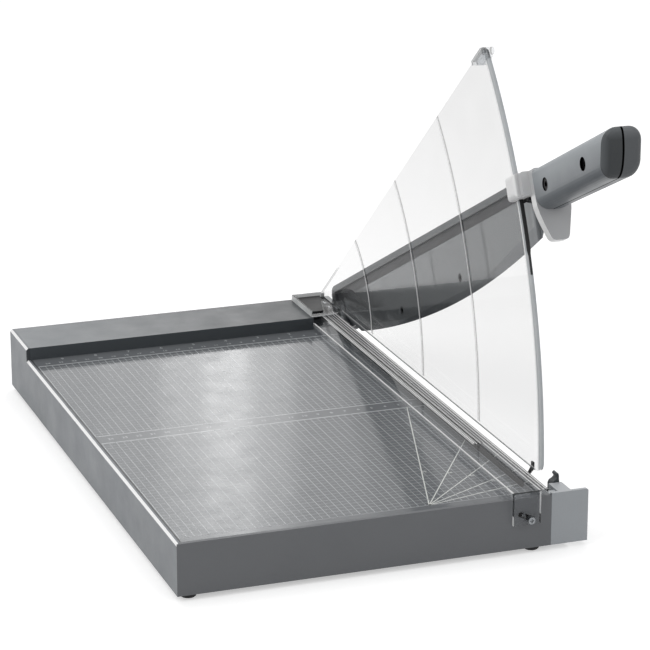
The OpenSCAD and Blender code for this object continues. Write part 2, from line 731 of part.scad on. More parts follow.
// The clip on the guard's upper corner that stops the collar. Its places are given as
// the way along the guard's upper edge and the height above the line through the pivot.
clip_grip = 1;
clip_end = upper_length + 1.4;
clip_ring = 2.6;
ring_way = clip_end;
ring_height = guard_lift - 4.9;
clip_drawing = [
  [-clip_end + 25, guard_lift - 2.4], [-clip_end + 25, guard_lift + 0.8], [-clip_end + 6, guard_lift + 0.8],
  [-clip_end - 1, guard_lift - 2.4], [-clip_end - 0.6, guard_lift - 9.4], [-clip_end + 9.2, guard_lift - 10.6],
  [-clip_end + 21.6, guard_lift - 4]];

module clip_hub(x0, x1, r) translate([0, -ring_way * cos(guard_angle) + ring_height * sin(guard_angle),
  ring_way * sin(guard_angle) + ring_height * cos(guard_angle)]) rod_x(x0, x1, 0, 0, r);

module stop_clip() color([0.8, 0.82, 0.84, 0.5]) at_pivot() difference() {
  union() {
    to_right(guard_x - clip_grip, guard_thickness + 2 * clip_grip) rotate(-guard_angle)
      polygon(clip_drawing);
    clip_hub(guard_x - 2.4 * clip_grip, guard_right + 2.4 * clip_grip, clip_ring);
  }
  to_right(guard_x, guard_thickness) guard_drawing();
  clip_hub(guard_x - 2.4 * clip_grip - over, guard_x - clip_grip / 2, clip_ring / 2);
}

// The small dark finger that hangs from the guard's lower edge and leads the sheet in.
finger_y = pivot_y + corner_y + 10.3;
finger_run = 11.6;
finger_low = table_top + 0.5;
finger_drop = guard_bottom - finger_low;
finger_drawing = [[0, -0.13], [0, 0.13], [0.1, 0.38], [0.36, 0.62], [0.64, 0.88], [0.95, 1],
  [1, 0.89], [0.76, 0.77], [0.55, 0.5], [0.37, 0.27], [0.28, 0.05], [0.28, -0.13]];

module paper_guide() color("#2d2f31") placed()
  to_right(guard_right + 0.02, 1.1) polygon([for (p = finger_drawing)
    [finger_y + p[0] * finger_run, guard_bottom - p[1] * finger_drop]]);

// press bar

bar_front = -4;
leg_left = base_width - 27.5;
leg_right = base_width - 8.6;
leg_back = -1.5;
leg_bottom = base_height - 17;
bar_back = pivot_y + 2;
profile_front = 92;
profile_left = bar_right - 13.2;
shallow = 0.8;

module press_bar() color([0.86, 0.88, 0.9, 0.4]) placed() difference() {
  union() {
    // plate, wide in front of the rail and narrow in its well
    upward(bar_bottom, bar_thickness) polygon([
      [bar_left, leg_back], [bar_right, leg_back], [bar_right, bar_back],
      [profile_left, bar_back], [profile_left, rail_front - 1.5],
      [bar_left, rail_front - 1.5]]);
    block(leg_left, leg_right, bar_front, leg_back + over, bar_bottom, bar_top);
    block(leg_left, leg_right, bar_front, leg_back, leg_bottom, bar_top);
    // long ridges
    for (k = [0:4]) let (x = bar_right - 2.1 - k * ridge_pitch, y = k < 2 ? leg_back : profile_front)
      block(x - ridge_width / 2, x + ridge_width / 2, y, bar_back, bar_top - over,
        bar_top + ridge_height);
    block(bar_left + 5, bar_left + 5 + ridge_width, 8, 88, bar_top - over, bar_top + ridge_height / 2);
    block(bar_left, bar_left + ridge_width / 2, 8, rail_front - 1.5, bar_top - over,
      bar_top + ridge_height / 2);
    // spacer round the screw, behind the leg
    rod_y(leg_back - over, -free_gap, clamp_x, clamp_z, clamp_screw_diameter);
    // rear lug for the guide pin
    block(guide_x - 5, guide_x + 4, bar_back - 9, bar_back, table_top + 0.5, bar_top);
  }
  rod_y(bar_front - over, over, clamp_x, clamp_z, clamp_screw_diameter / 2 + screw_gap);
  rod_y(bar_back - 8, bar_back + over, guide_x, guide_z, guide_pin_radius);
  block(pad_left - 0.01, pad_left + pad_width + 0.01, pad_front - 0.01, pad_back + 0.01,
    bar_bottom - over, bar_bottom + shallow);
}

pad_width = 1.9;
pad_left = bar_right - 9.75;
pad_front = 20;
pad_back = rail_front - 4;

module press_pad() color("#141516") placed()
  block(pad_left, pad_left + pad_width, pad_front, pad_back, table_top + seat_gap / 2,
    bar_bottom + shallow);

head_length = 2.2;

module clamp_screw() color("#b9bcbf") placed() difference() {
  union() {
    rod_y(bar_front - head_length, bar_front, clamp_x, clamp_z, clamp_screw_diameter * 0.8);
    rod_y(bar_front - over, wall_thickness + 4.4, clamp_x, clamp_z, clamp_screw_diameter / 2);
  }
  for (t = [0, 90]) translate([clamp_x, bar_front - head_length - over, clamp_z]) rotate([0, t, 0])
    translate([-1.5, 0, -0.35]) cube([3, over + 1, 0.7]);
}

module clamp_nut() color("#b9bcbf") placed() difference() {
  translate([clamp_x, wall_thickness + free_gap + 2.6, clamp_z]) rotate([90, 0, 0])
    cylinder(h = 2.6, r = clamp_screw_diameter * 1.05, $fn = 6);
  rod_y(wall_thickness, wall_thickness + 6, clamp_x, clamp_z, clamp_screw_diameter / 2);
}

module guide_pin() color("#b9bcbf") placed()
  rod_y(bar_back - 8, guide_front + 7, guide_x, guide_z, guide_pin_radius);

// arm

tail_radius = 7.5;
recess_start = -9;
recess_top = arm_top - flange_height;
recess_ribs = [0, 17, 137];
skirt_drop = 15;
skirt_thickness = 2.6;
tang_end = cap_start - 4;
tang_low = 0;
tang_high = 16;
// ledge that the latch holds: where it stands when the arm is down
keeper_a = pivot_y - latch_y - 0.4;
keeper_n = -17.6;
keeper_half = 2.5;
keeper_thickness = 1.2;
keeper_reach = 1.5;

module beam_outline() polygon(concat(
  arc(-arm_tail + tail_radius, arm_top - tail_radius, tail_radius, 180, 90, 12),
  [[plate_start, arm_top], [plate_start, recess_top], [40, recess_top], [28, -6]],
  arc(0, 0, 14, -20, -140, 20),
  [[-arm_tail, -4]]));

module web_outline() polygon(concat(
  [[0, -13], [blade_tail, belly(blade_tail) + web_back_off]],
  [for (i = [1:arc_steps / 2 - 1]) let (a = blade_tail + (plate_start - blade_tail) * i * 2 / arc_steps)
    [a, belly(a) + web_back_off]],
  [[plate_start, belly(plate_start) + web_back_off], [plate_start, arm_top - over], [0, arm_top - over]]));

module arm_beam() color("#8b8f92") on_arm() difference() {
  union() {
    arm_side(blade_x, arm_width) beam_outline();
    arm_side(web_x, web_thickness) web_outline();
    arm_side(arm_right - skirt_thickness, skirt_thickness) polygon([[10, recess_top - skirt_drop],
      [plate_start - 6, recess_top - skirt_drop], [plate_start, recess_top - skirt_drop + 6],
      [plate_start, arm_top - over], [10, arm_top - over]]);
    // ribs that join the web and the skirt on the right
    for (a = [60:57:plate_start - 20]) arm_side(web_right - over, arm_right - web_right)
      polygon([[a, recess_top - skirt_drop + 2], [a + 2, recess_top - skirt_drop + 2],
        [a + 2, arm_top - over], [a, arm_top - over]]);
    // ribs in the recess above the blade
    for (a = recess_ribs) arm_side(blade_x + 0.5, web_x - blade_x)
      polygon([[a, blade_top + 0.1], [a + 1.6, blade_top + 0.1], [a + 1.6, arm_top - over],
        [a, arm_top - over]]);
    // tang into the handle
    arm_side(web_x, web_thickness) polygon([[plate_start - over, tang_low], [tang_end, tang_low],
      [tang_end, tang_high], [plate_start - over, tang_high]]);
    // lug and ledge that the latch holds
    arm_side(web_x, web_thickness) polygon([[keeper_a - 4 * keeper_half, keeper_n + 4 * keeper_thickness],
      [keeper_a - 1.4 * keeper_half, keeper_n - keeper_thickness / 2],
      [keeper_a + 1.4 * keeper_half, keeper_n - keeper_thickness / 2],
      [keeper_a + 4 * keeper_half, keeper_n + 4 * keeper_thickness]]);
    arm_side(web_right - over, keeper_reach + over) polygon([
      [keeper_a - keeper_half, keeper_n - keeper_thickness / 2],
      [keeper_a + keeper_half, keeper_n - keeper_thickness / 2],
      [keeper_a + keeper_half, keeper_n + keeper_thickness / 2],
      [keeper_a - keeper_half, keeper_n + keeper_thickness / 2]]);
  }
  // the hollow on the left: behind the blade and in the recess
  arm_side(blade_x - over, blade_thickness + over) polygon([
    [recess_start, recess_top], [recess_start, blade_top], [blade_shoulder - 0.1, blade_top],
    [blade_shoulder - 0.1, -40], [plate_start + over, -40], [plate_start + over, recess_top]]
    );
  rod_x(blade_x - over, arm_right + over, 0, 0, bush_radius);
  for (i = [0:1]) translate([0, -blade_screw_places[i], blade_screw_drop[i]])
    rod_x(blade_x - over, web_right + over, 0, 0, 1.5 + screw_gap);
  for (i = [0:1]) translate([0, -handle_screw_places[i], handle_screw_n[i]])
    rod_x(web_x - over, web_right + over, 0, 0, m4_radius + screw_gap);
}

module blade() color("#b4b6b8") on_arm() difference() {
  arm_side(blade_x, blade_thickness) blade_drawing();
  // the ground slope on the right side of the edge
  for (i = [0:arc_steps / 4 - 1]) let (
    a0 = blade_tail + (blade_reach - blade_tail) * i * 4 / arc_steps,
    a1 = blade_tail + (blade_reach - blade_tail) * (i + 1) * 4 / arc_steps)
    grind(a0, a1);
  for (i = [0:1]) translate([0, -blade_screw_places[i], blade_screw_drop[i]]) {
    rod_x(blade_x - over, web_x + over, 0, 0, 1.5 + screw_gap);
    rod_x(blade_x - over, blade_x + 1.3, 0, 0, blade_screw_head / 2 + screw_gap);
  }
}

// One straight piece of the ground slope between the distances a0 and a1.
module grind(a0, a1) {
  n0 = belly(a0);
  n1 = belly(a1);
  run = sqrt(pow(a1 - a0, 2) + pow(n1 - n0, 2));
  translate([0, -a0, n0]) rotate([-atan2(n1 - n0, a1 - a0), 0, 0])
    arm_across(-over / 2, run + over) polygon([
      [web_x + 0.01, grind_height], [web_x + over, grind_height],
      [web_x + over, -over], [blade_x + 0.5, -over], [blade_x + 0.5, 0]]);
}

module blade_screws() color("#2a2c2e") on_arm() for (i = [0:1])
  translate([0, -blade_screw_places[i], blade_screw_drop[i]]) difference() {
    union() {
      rod_x(blade_x + 0.1, blade_x + 1.3, 0, 0, blade_screw_head / 2);
      rod_x(blade_x + 0.1, web_right + 0.6, 0, 0, 1.5);
    }
    translate([blade_x - over, 0, 0]) rotate([0, 90, 0]) cylinder(h = over + 0.9, r = 1.3, $fn = 6);
  }

// collar

block_end = 402;
block_low = 8;
block_high = 24;
block_right = blade_x - 0.4;
block_left = block_right - block_width;
slot_left = guard_x - slot_gap;
slot_right = guard_right + slot_gap;
slot_floor = guard_radius + strip_rise + 1.4;
lip = arm_top + 1.8;

// The plate's outline in shares of the handle's width and of the height under the lip.
plate_tall = lip + 23.3;
plate_drawing = [
  [-0.04, 1], [-0.1, 0.985], [-0.128, 0.93], [-0.128, 0.58], [-0.117, 0.48], [-0.075, 0.37],
  [-0.008, 0.245], [0.075, 0.118], [0.12, 0.052], [0.162, 0.018], [0.23, 0.004], [0.4, 0],
  [0.53, 0.006], [0.58, 0.024], [0.615, 0.07], [0.68, 0.222], [0.76, 0.411], [0.8, 0.57],
  [0.815, 0.737], [0.79, 0.88], [0.7, 0.955], [0.53, 0.98], [0.26, 0.992]];

module collar() color("#d8d9da") on_arm() difference() {
  union() {
    intersection() {
      arm_across(block_start, plate_start - block_start + 2)
        polygon(round_rect(block_left, block_low, block_right, block_high, 3.4));
      upward(-50, 100) polygon(round_rect(block_left, -block_end, block_right + 10,
        -block_start, 2.6));
    }
    // neck between the block and the plate
    arm_across(block_end - 4, plate_start + 2 - block_end + 4)
      polygon(round_rect(block_right - 0.7 * block_width, block_low, block_right, block_high - 0.2, 1.4));
    arm_across(plate_start, plate_thickness) polygon([for (p = plate_drawing)
      [blade_x + p[0] * handle_width, lip - (1 - p[1]) * plate_tall]]);
  }
  // the slot that rides on the guard's arc
  arm_side(slot_left, slot_right - slot_left) polygon(concat(
    [[block_start - 5, block_low - 20]], [[block_start - 5, block_high + 20]],
    [for (t = [8:-1:-8]) [slot_floor * cos(t), slot_floor * sin(t)]]));
  // the tang's hole
  arm_side(web_x, web_thickness) polygon([[plate_start - over, tang_low], [plate_end + over, tang_low],
    [plate_end + over, tang_high], [plate_start - over, tang_high]]);
}

module collar_glide() color("#151617") on_arm() difference() {
  arm_across(block_start + 1.5, slot_floor - block_start + 4) polygon([
    [slot_right, block_low], [slot_right, block_low - 2.2], [block_right - 0.1, block_low - 1.4],
    [block_right - 0.1, block_low]]);
}

// handle

handle_left_x = blade_x - 4.9;
root_left_x = blade_x - 3.2;
root_right_x = blade_x + 20.6;
root_low = -3.1;
root_high = 23.4;
handle_right_x = handle_left_x + handle_width;
handle_high = handle_low + handle_height;
handle_screw_places = [handle_root + 18.2, cap_start - 28.6];
handle_screw_n = [10.2, 9.4];

// A section with one radius for its lower and one for its upper edges.
function section(x0, n0, x1, n1, low, high) = concat(
  arc(x1 - low, n0 + low, low, -90, 0, 8), arc(x1 - high, n1 - high, high, 0, 90, 8),
  arc(x0 + high, n1 - high, high, 90, 180, 8), arc(x0 + low, n0 + low, low, 180, 270, 8));

// A thin slice across the arm.
module slice(a, x0, n0, x1, n1, low, high) arm_across(a, 0.01)
  polygon(section(x0, n0, x1, n1, low, high));

// A thin plumb slice: its top stands forward along the arm.
module plumb_slice(a, inset, r) multmatrix([[1, 0, 0, 0], [0, 1, -tan(arm_angle), handle_mid * tan(arm_angle)],
  [0, 0, 1, 0]]) slice(a - 0.01, handle_left_x + inset, handle_low + inset, handle_right_x - inset,
  handle_high - inset, r, r);

module handle_body() hull() {
  slice(handle_root, root_left_x, root_low, root_right_x, root_high, handle_radius, handle_radius / 3);
  plumb_slice(cap_start, 0, handle_radius);
}

module cap_body() hull() {
  plumb_slice(cap_start + 0.01, 0, handle_radius);
  plumb_slice(cap_start + cap_length * 0.4, cap_length * 0.12, handle_radius - cap_length * 0.1);
  plumb_slice(cap_start + cap_length * 0.72, cap_length * 0.4, handle_radius - cap_length * 0.3);
  plumb_slice(cap_start + cap_length * 0.92, cap_length * 0.85, handle_radius - cap_length * 0.6);
  plumb_slice(handle_reach, cap_length * 1.5, handle_radius - cap_length);
}

module left_half() arm_across(handle_root - over, handle_reach - handle_root + handle_height)
  polygon([[part_x - 40, -40], [part_x, -40], [part_x, 60], [part_x - 40, 60]]);

module right_half() arm_across(handle_root - over, handle_reach - handle_root + handle_height)
  polygon([[part_x, -40], [part_x + 40, -40], [part_x + 40, 60], [part_x, 60]]);

tang_gap = 0.1;

module tang_room() arm_side(web_x, web_thickness) polygon([
  [plate_start, tang_low], [tang_end, tang_low], [tang_end, tang_high],
  [plate_start, tang_high]]);

sink_floor = blade_x + 0.6;
head_top = blade_x - 2.9;

module handle_left() color("#8f9498") on_arm() difference() {
  intersection() {
    handle_body();
    left_half();
  }
  tang_room();
  for (i = [0:1]) translate([0, -handle_screw_places[i], handle_screw_n[i]]) {
    rod_x(handle_left_x - over, part_x + over, 0, 0, m4_radius + screw_gap);
    rod_x(handle_left_x - over, sink_floor, 0, 0, sink_diameter / 2);
  }
  // hollow behind the tang
  arm_side(web_right + over, part_x - web_right) polygon([[handle_root + 12, tang_low],
    [handle_screw_places[0] - 7, tang_low], [handle_screw_places[0] - 7, tang_high],
    [handle_root + 12, tang_high]]);
  arm_side(web_right + over, part_x - web_right) polygon([[handle_screw_places[0] + 7, tang_low],
    [handle_screw_places[1] - 7, tang_low], [handle_screw_places[1] - 7, tang_high],
    [handle_screw_places[0] + 7, tang_high]]);
}

module handle_right() color("#8f9498") on_arm() difference() {
  intersection() {
    handle_body();
    right_half();
  }
  for (i = [0:1]) translate([0, -handle_screw_places[i], handle_screw_n[i]])
    rod_x(part_x - over, part_x + 8, 0, 0, m4_radius + screw_gap);
  arm_side(part_x - over, 8) polygon([[handle_root + 12, tang_low],
    [handle_screw_places[0] - 7, tang_low], [handle_screw_places[0] - 7, tang_high],
    [handle_root + 12, tang_high]]);
  arm_side(part_x - over, 8) polygon([[handle_screw_places[0] + 7, tang_low],
    [handle_screw_places[1] - 7, tang_low], [handle_screw_places[1] - 7, tang_high],
    [handle_screw_places[0] + 7, tang_high]]);
}

module cap_left() color("#4a4f52") on_arm() intersection() {
  cap_body();
  left_half();
}

module cap_right() color("#5e6266") on_arm() intersection() {
  cap_body();
  right_half();
}

module handle_screws() color("#17181a") on_arm() for (i = [0:1])
  translate([0, -handle_screw_places[i], handle_screw_n[i]]) difference() {
    union() {
      rod_x(head_top, sink_floor, 0, 0, sink_diameter / 2 - screw_gap);
      rod_x(sink_floor - over, part_x + 7, 0, 0, m4_radius);
    }
    translate([head_top - over, 0, 0]) rotate([0, 90, 0])
      cylinder(h = over + m4_radius, r = m4_radius, $fn = 6);
  }

left_panel();
front_wall();
right_wall();
rear_wall();
table_plate();
rear_rail();
base_frame();
bottom_cover();
bottom_screws();
feet();
counter_blade();
counter_blade_screws();
end_cap();
end_cap_screws();
latch_lever();
latch_pin();
pivot_bracket();
bracket_screws();
pivot_stud();
pivot_bush();
pivot_washer();
pivot_nut();
clamp_cover();
cover_plate();
guide_block();
guard();
guard_screws();
brake_strip();
stop_clip();
paper_guide();
press_bar();
press_pad();
clamp_screw();
clamp_nut();
guide_pin();
arm_beam();
blade();
blade_screws();
collar();
collar_glide();
handle_left();
handle_right();
cap_left();
cap_right();
handle_screws();
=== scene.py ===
# Desk paper cutter: finishes, table print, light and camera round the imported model.
import json
import math

import bmesh
import bpy
from mathutils import Matrix, Vector


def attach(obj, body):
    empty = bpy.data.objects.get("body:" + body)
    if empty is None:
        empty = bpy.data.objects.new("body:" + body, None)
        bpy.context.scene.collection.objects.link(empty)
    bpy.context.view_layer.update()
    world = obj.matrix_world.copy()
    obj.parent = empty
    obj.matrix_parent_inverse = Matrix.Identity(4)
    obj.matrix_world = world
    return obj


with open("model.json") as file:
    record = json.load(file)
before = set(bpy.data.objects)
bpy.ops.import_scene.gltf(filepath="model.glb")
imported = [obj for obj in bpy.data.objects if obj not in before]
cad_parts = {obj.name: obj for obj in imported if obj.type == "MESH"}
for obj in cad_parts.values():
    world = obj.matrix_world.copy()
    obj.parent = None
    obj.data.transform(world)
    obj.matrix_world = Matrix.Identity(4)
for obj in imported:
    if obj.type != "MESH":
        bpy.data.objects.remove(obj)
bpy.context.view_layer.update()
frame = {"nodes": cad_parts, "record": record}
parts = frame["nodes"]

# Places. The drawing counts in millimetres from the left front lower corner of the walls.
MM = 0.001
DRAWING_ZERO = Vector((-139.6, -183.58, 3.8))


def at(x, y, z):
    """A point of the drawing, in metres."""
    return (Vector((x, y, z)) + DRAWING_ZERO) * MM


def at_x(x):
    return at(x, 0, 0).x


def at_y(y):
    return at(0, y, 0).y


def at_z(z):
    return at(0, 0, z).z


# The arm's pivot line and how far the arm is raised at rest
ARM_ANGLE = math.radians(26.05)
ARM_TURN = (-ARM_ANGLE, 0, 0)
PIVOT = Vector(at(0, 402, 39.4))

# The left wall: the outer line of its upper edge, and where its face in the rail's front is
WALL_LINE = at_x(1.5)
RAIL_FRONT = at_y(373.58)

# The rail's top: palest on the left, darkest on the right, as a painted shade
RAIL_PALE = at_x(9.6)
RAIL_DARK = at_x(239.6)

# The guard: its arc, the line beside the arc, its ribs, the band along its foot, and the
# heights between which its tint changes. Line, ribs and band carry painted highlights and dark
# reflections.
GUARD_RADIUS = 392.8 * MM
GUARD_RIM = 388.4 * MM
GUARD_ARC = 390.0 * MM
GUARD_SHEET = at_x(248.8)
GUARD_FOOT = at_z(46.5)
RIB_PITCH = 102.5 * MM
TINT_LOW = 60 * MM
TINT_HIGH = 250 * MM

# The press bar: its edges, where its ridges begin, and its leg in front
BAR_RIGHT = 251.0
BAR_LEFT_LINE = at_x(226.0)
BAR_RIDGES = at_x(243.5)
BAR_RIDGES_FRONT = at_y(91.5)
BAR_LEG = at_y(-1.6)
BAR_LEG_MIDDLE = at_z(24.5)

# The arm, in its own directions, along it from the pivot (negative) and above its line: the
# light strip, the blade's front end and the line of its darker band, the collar's block and
# slot, and the grip's screws with the radius of their sinkings
ARM_STRIP_LOW = 17.9 * MM
BLADE_FRONT = -395.3 * MM
BAND_START = (-396 * MM, -10.5 * MM)
BAND_END = (-290 * MM, -28.5 * MM)
COLLAR_BLOCK_LOW = 7.5 * MM
COLLAR_SLOT = at_x(249.8)
HANDLE_SCREWS = ((-430.2 * MM, 10.2 * MM), (-493 * MM, 9.4 * MM))
SINKING = 4.34 * MM

# Where the grip's two halves part, and how high its end is
PART_X = at_x(263.19)
CAP_LOW = min(v.co.z for v in parts["cap_left"].data.vertices)
CAP_HIGH = max(v.co.z for v in parts["cap_left"].data.vertices)
CAP_BOW = 1.4 * MM

# How fine the grain of the glossy table and its ink is, and how deep
FINE_GRAIN = 2200
FINE_DEPTH = 0.002 * MM


# Colours and materials


def tone(code):
    """A colour as it looks, as the light it gives back."""
    out = []
    for k in (0, 2, 4):
        c = int(code[k : k + 2], 16) / 255
        out.append(c / 12.92 if c <= 0.04045 else ((c + 0.055) / 1.055) ** 2.4)
    return (*out, 1.0)


def times(colour, k):
    """A colour k times as light."""
    return (*[min(1.0, c * k) for c in colour[:3]], 1.0)


class Finish:
    """One material and the few steps that build it."""

    def __init__(self, name):
        self.material = bpy.data.materials.new(name)
        self.material.use_nodes = True
        self.tree = self.material.node_tree
        self.tree.nodes.clear()
        self.out = self.add("ShaderNodeOutputMaterial")
        self.place = self.add("ShaderNodeTexCoord").outputs["Object"]

    def add(self, kind, **values):
        """A node of one kind, with its settings."""
        node = self.tree.nodes.new(kind)
        for key, value in values.items():
            setattr(node, key, value)
        return node

    def join(self, source, target):
        self.tree.links.new(source, target)

    def stretched(self, size, turn=(0, 0, 0)):
        """The place, scaled along each axis, for a pattern that runs one way."""
        m = self.add("ShaderNodeMapping")
        m.inputs["Scale"].default_value = size
        m.inputs["Rotation"].default_value = turn
        self.join(self.place, m.inputs["Vector"])
        return m.outputs["Vector"]

    def noise(self, scale, detail=2.0, rough=0.5, where=None):
        """A cloudy pattern; the greater the scale the finer it is."""
        n = self.add("ShaderNodeTexNoise")
        n.inputs["Scale"].default_value = scale
        n.inputs["Detail"].default_value = detail
        n.inputs["Roughness"].default_value = rough
        self.join(where or self.place, n.inputs["Vector"])
        return n.outputs["Fac"]

    def between(self, value, low, high, to_low, to_high):
        """The value, with low to high spread over to_low to to_high and held beyond."""
        r = self.add("ShaderNodeMapRange")
        for key, v in (
            ("From Min", low),
            ("From Max", high),
            ("To Min", to_low),
            ("To Max", to_high),
        ):
            r.inputs[key].default_value = v
        self.join(value, r.inputs["Value"])
        return r.outputs["Result"]

    def mixed(self, amount, first, second):
        """The first colour where the amount is 0, the second where it is 1."""
        m = self.add("ShaderNodeMix", data_type="RGBA")
        self.join(amount, m.inputs["Factor"])
        for socket, value in ((m.inputs[6], first), (m.inputs[7], second)):
            if isinstance(value, tuple):
                socket.default_value = value
            else:
                self.join(value, socket)
        return m.outputs[2]

    def bump(self, height, distance, strength=1.0):
        """Small heights, up to the distance in metres."""
        b = self.add("ShaderNodeBump")
        b.inputs["Distance"].default_value = distance
        b.inputs["Strength"].default_value = strength
        self.join(height, b.inputs["Height"])
        return b.outputs["Normal"]

    def shader(self, **values):
        """The plain surface shader, with its settings."""
        s = self.add("ShaderNodeBsdfPrincipled")
        for key, value in values.items():
            s.inputs[key.replace("_", " ")].default_value = value
        return s

    def ends(self, shader):
        """Ends the material with the shader and gives it back."""
        self.join(shader.outputs[0], self.out.inputs["Surface"])
        return self.material


# Places and masks: 1 on a part of the piece, 0 elsewhere


def facing(f, axis, low=0.5, high=0.7):
    """1 on faces that look along the axis (0, 1 or 2), either way, and 0 on the others."""
    split = f.add("ShaderNodeSeparateXYZ")
    f.join(f.add("ShaderNodeNewGeometry").outputs["True Normal"], split.inputs[0])
    size = f.add("ShaderNodeMath", operation="ABSOLUTE")
    f.join(split.outputs[axis], size.inputs[0])
    return f.between(size.outputs[0], low, high, 0, 1)


def along(f, axis):
    """The place along one axis of the frame, in metres."""
    split = f.add("ShaderNodeSeparateXYZ")
    f.join(f.place, split.inputs[0])
    return split.outputs[axis]


def arm_place(f):
    """The places along the arm (negative) and above its line, in metres."""
    turned = Matrix.Rotation(ARM_ANGLE, 3, "X") @ PIVOT
    m = f.add("ShaderNodeMapping")
    m.inputs["Rotation"].default_value = (ARM_ANGLE, 0, 0)
    m.inputs["Location"].default_value = (0, -turned.y, -turned.z)
    f.join(f.place, m.inputs["Vector"])
    split = f.add("ShaderNodeSeparateXYZ")
    f.join(m.outputs["Vector"], split.inputs[0])
    return split.outputs[1], split.outputs[2]


def both(f, first, second):
    """1 where both masks are 1."""
    m = f.add("ShaderNodeMath", operation="MULTIPLY")
    f.join(first, m.inputs[0])
    f.join(second, m.inputs[1])
    return m.outputs[0]


def either(f, first, second):
    """1 where one of two masks is 1, or both."""
    m = f.add("ShaderNodeMath", operation="MAXIMUM")
    f.join(first, m.inputs[0])
    f.join(second, m.inputs[1])
    return m.outputs[0]


def inside(f):
    """1 on faces seen from inside the piece."""
    return f.add("ShaderNodeNewGeometry").outputs["Backfacing"]


def from_pivot(f):
    """The distance from the arm's pivot line, in metres."""
    flat = f.add("ShaderNodeVectorMath", operation="MULTIPLY")
    flat.inputs[1].default_value = (0, 1, 1)
    f.join(f.place, flat.inputs[0])
    far = f.add("ShaderNodeVectorMath", operation="DISTANCE")
    far.inputs[1].default_value = (0, PIVOT.y, PIVOT.z)
    f.join(flat.outputs[0], far.inputs[0])
    return far.outputs["Value"]


def radial(f):
    """1 on faces that look towards or away from the pivot line."""
    away = f.add("ShaderNodeVectorMath", operation="SUBTRACT")
    away.inputs[1].default_value = (0, PIVOT.y, PIVOT.z)
    flat = f.add("ShaderNodeVectorMath", operation="MULTIPLY")
    flat.inputs[1].default_value = (0, 1, 1)
    f.join(f.place, flat.inputs[0])
    f.join(flat.outputs[0], away.inputs[0])
    unit = f.add("ShaderNodeVectorMath", operation="NORMALIZE")
    f.join(away.outputs[0], unit.inputs[0])
    dot = f.add("ShaderNodeVectorMath", operation="DOT_PRODUCT")
    f.join(unit.outputs[0], dot.inputs[0])
    f.join(f.add("ShaderNodeNewGeometry").outputs["True Normal"], dot.inputs[1])
    size = f.add("ShaderNodeMath", operation="ABSOLUTE")
    f.join(dot.outputs["Value"], size.inputs[0])
    return f.between(size.outputs[0], 0.6, 0.8, 0, 1)


def opposite(f, value):
    """0 where the mask is 1, and the other way round."""
    return f.between(value, 0, 1, 1, 0)


def beside(f, value, middle, low, high):
    """1 within low of the middle, 0 beyond high."""
    off = f.add("ShaderNodeMath", operation="SUBTRACT")
    f.join(value, off.inputs[0])
    off.inputs[1].default_value = middle
    size = f.add("ShaderNodeMath", operation="ABSOLUTE")
    f.join(off.outputs[0], size.inputs[0])
    return f.between(size.outputs[0], low, high, 1, 0)


# Tones, sheen and grain


def clouded(f, scale, low, high):
    """A tone that wanders softly between two colours."""
    return f.mixed(f.between(f.noise(scale, 3, 0.55), 0.3, 0.7, 0, 1), tone(low), tone(high))


def mottled(f, low, high):
    """The same in small spots, for narrow faces."""
    return f.mixed(f.between(f.noise(40, 3, 0.6), 0.3, 0.7, 0, 1), tone(low), tone(high))


def sheen(f, s, low, high):
    """A roughness that varies over the piece."""
    f.join(f.between(f.noise(45, 4, 0.6), 0.3, 0.7, low, high), s.inputs["Roughness"])


def grained(f, s, grain=1300, depth=0.02 * MM):
    """The fine grain of moulded plastic."""
    f.join(f.bump(f.noise(grain, 2, 0.6), depth), s.inputs["Normal"])


# Finishes


def moulded(name, colour, rough=0.42, grain=1300, depth=0.02 * MM, spread=0.05, **more):
    """Moulded plastic: a fine eroded grain, a slight cloudiness, and a sheen that varies.

    grain is how fine it is, depth how deep in metres, and spread how far the tone wanders.
    """
    f = Finish(name)
    cloud = f.noise(14, 3, 0.55)
    speck = f.noise(grain * 1.7, 1, 0.5)
    pale = f.mixed(
        f.between(cloud, 0.3, 0.7, 0, 1),
        times(colour, 1 - spread),
        times(colour, 1 + spread),
    )
    skin = f.mixed(f.between(speck, 0.35, 0.75, 0, 0.35), pale, times(colour, 0.8))
    s = f.shader(Roughness=rough, **more)
    f.join(skin, s.inputs["Base Color"])
    sheen(f, s, rough - 0.05, rough + 0.07)
    grained(f, s, grain, depth)
    return f.ends(s)


def metal(name, colour, rough, run=(60, 4000, 4000), depth=0.004 * MM, share=1.0):
    """Metal with fine lines drawn along one way. share is how metallic it is."""
    f = Finish(name)
    lines = f.noise(1, 3, 0.6, f.stretched(run))
    cloud = f.noise(25, 3, 0.6)
    s = f.shader(Metallic=share, Roughness=rough)
    f.join(
        f.mixed(f.between(lines, 0.3, 0.7, 0, 1), times(colour, 0.86), colour),
        s.inputs["Base Color"],
    )
    f.join(
        f.between(cloud, 0.3, 0.7, rough * 0.8, rough * 1.25), s.inputs["Roughness"]
    )
    f.join(f.bump(lines, depth), s.inputs["Normal"])
    return f.ends(s)


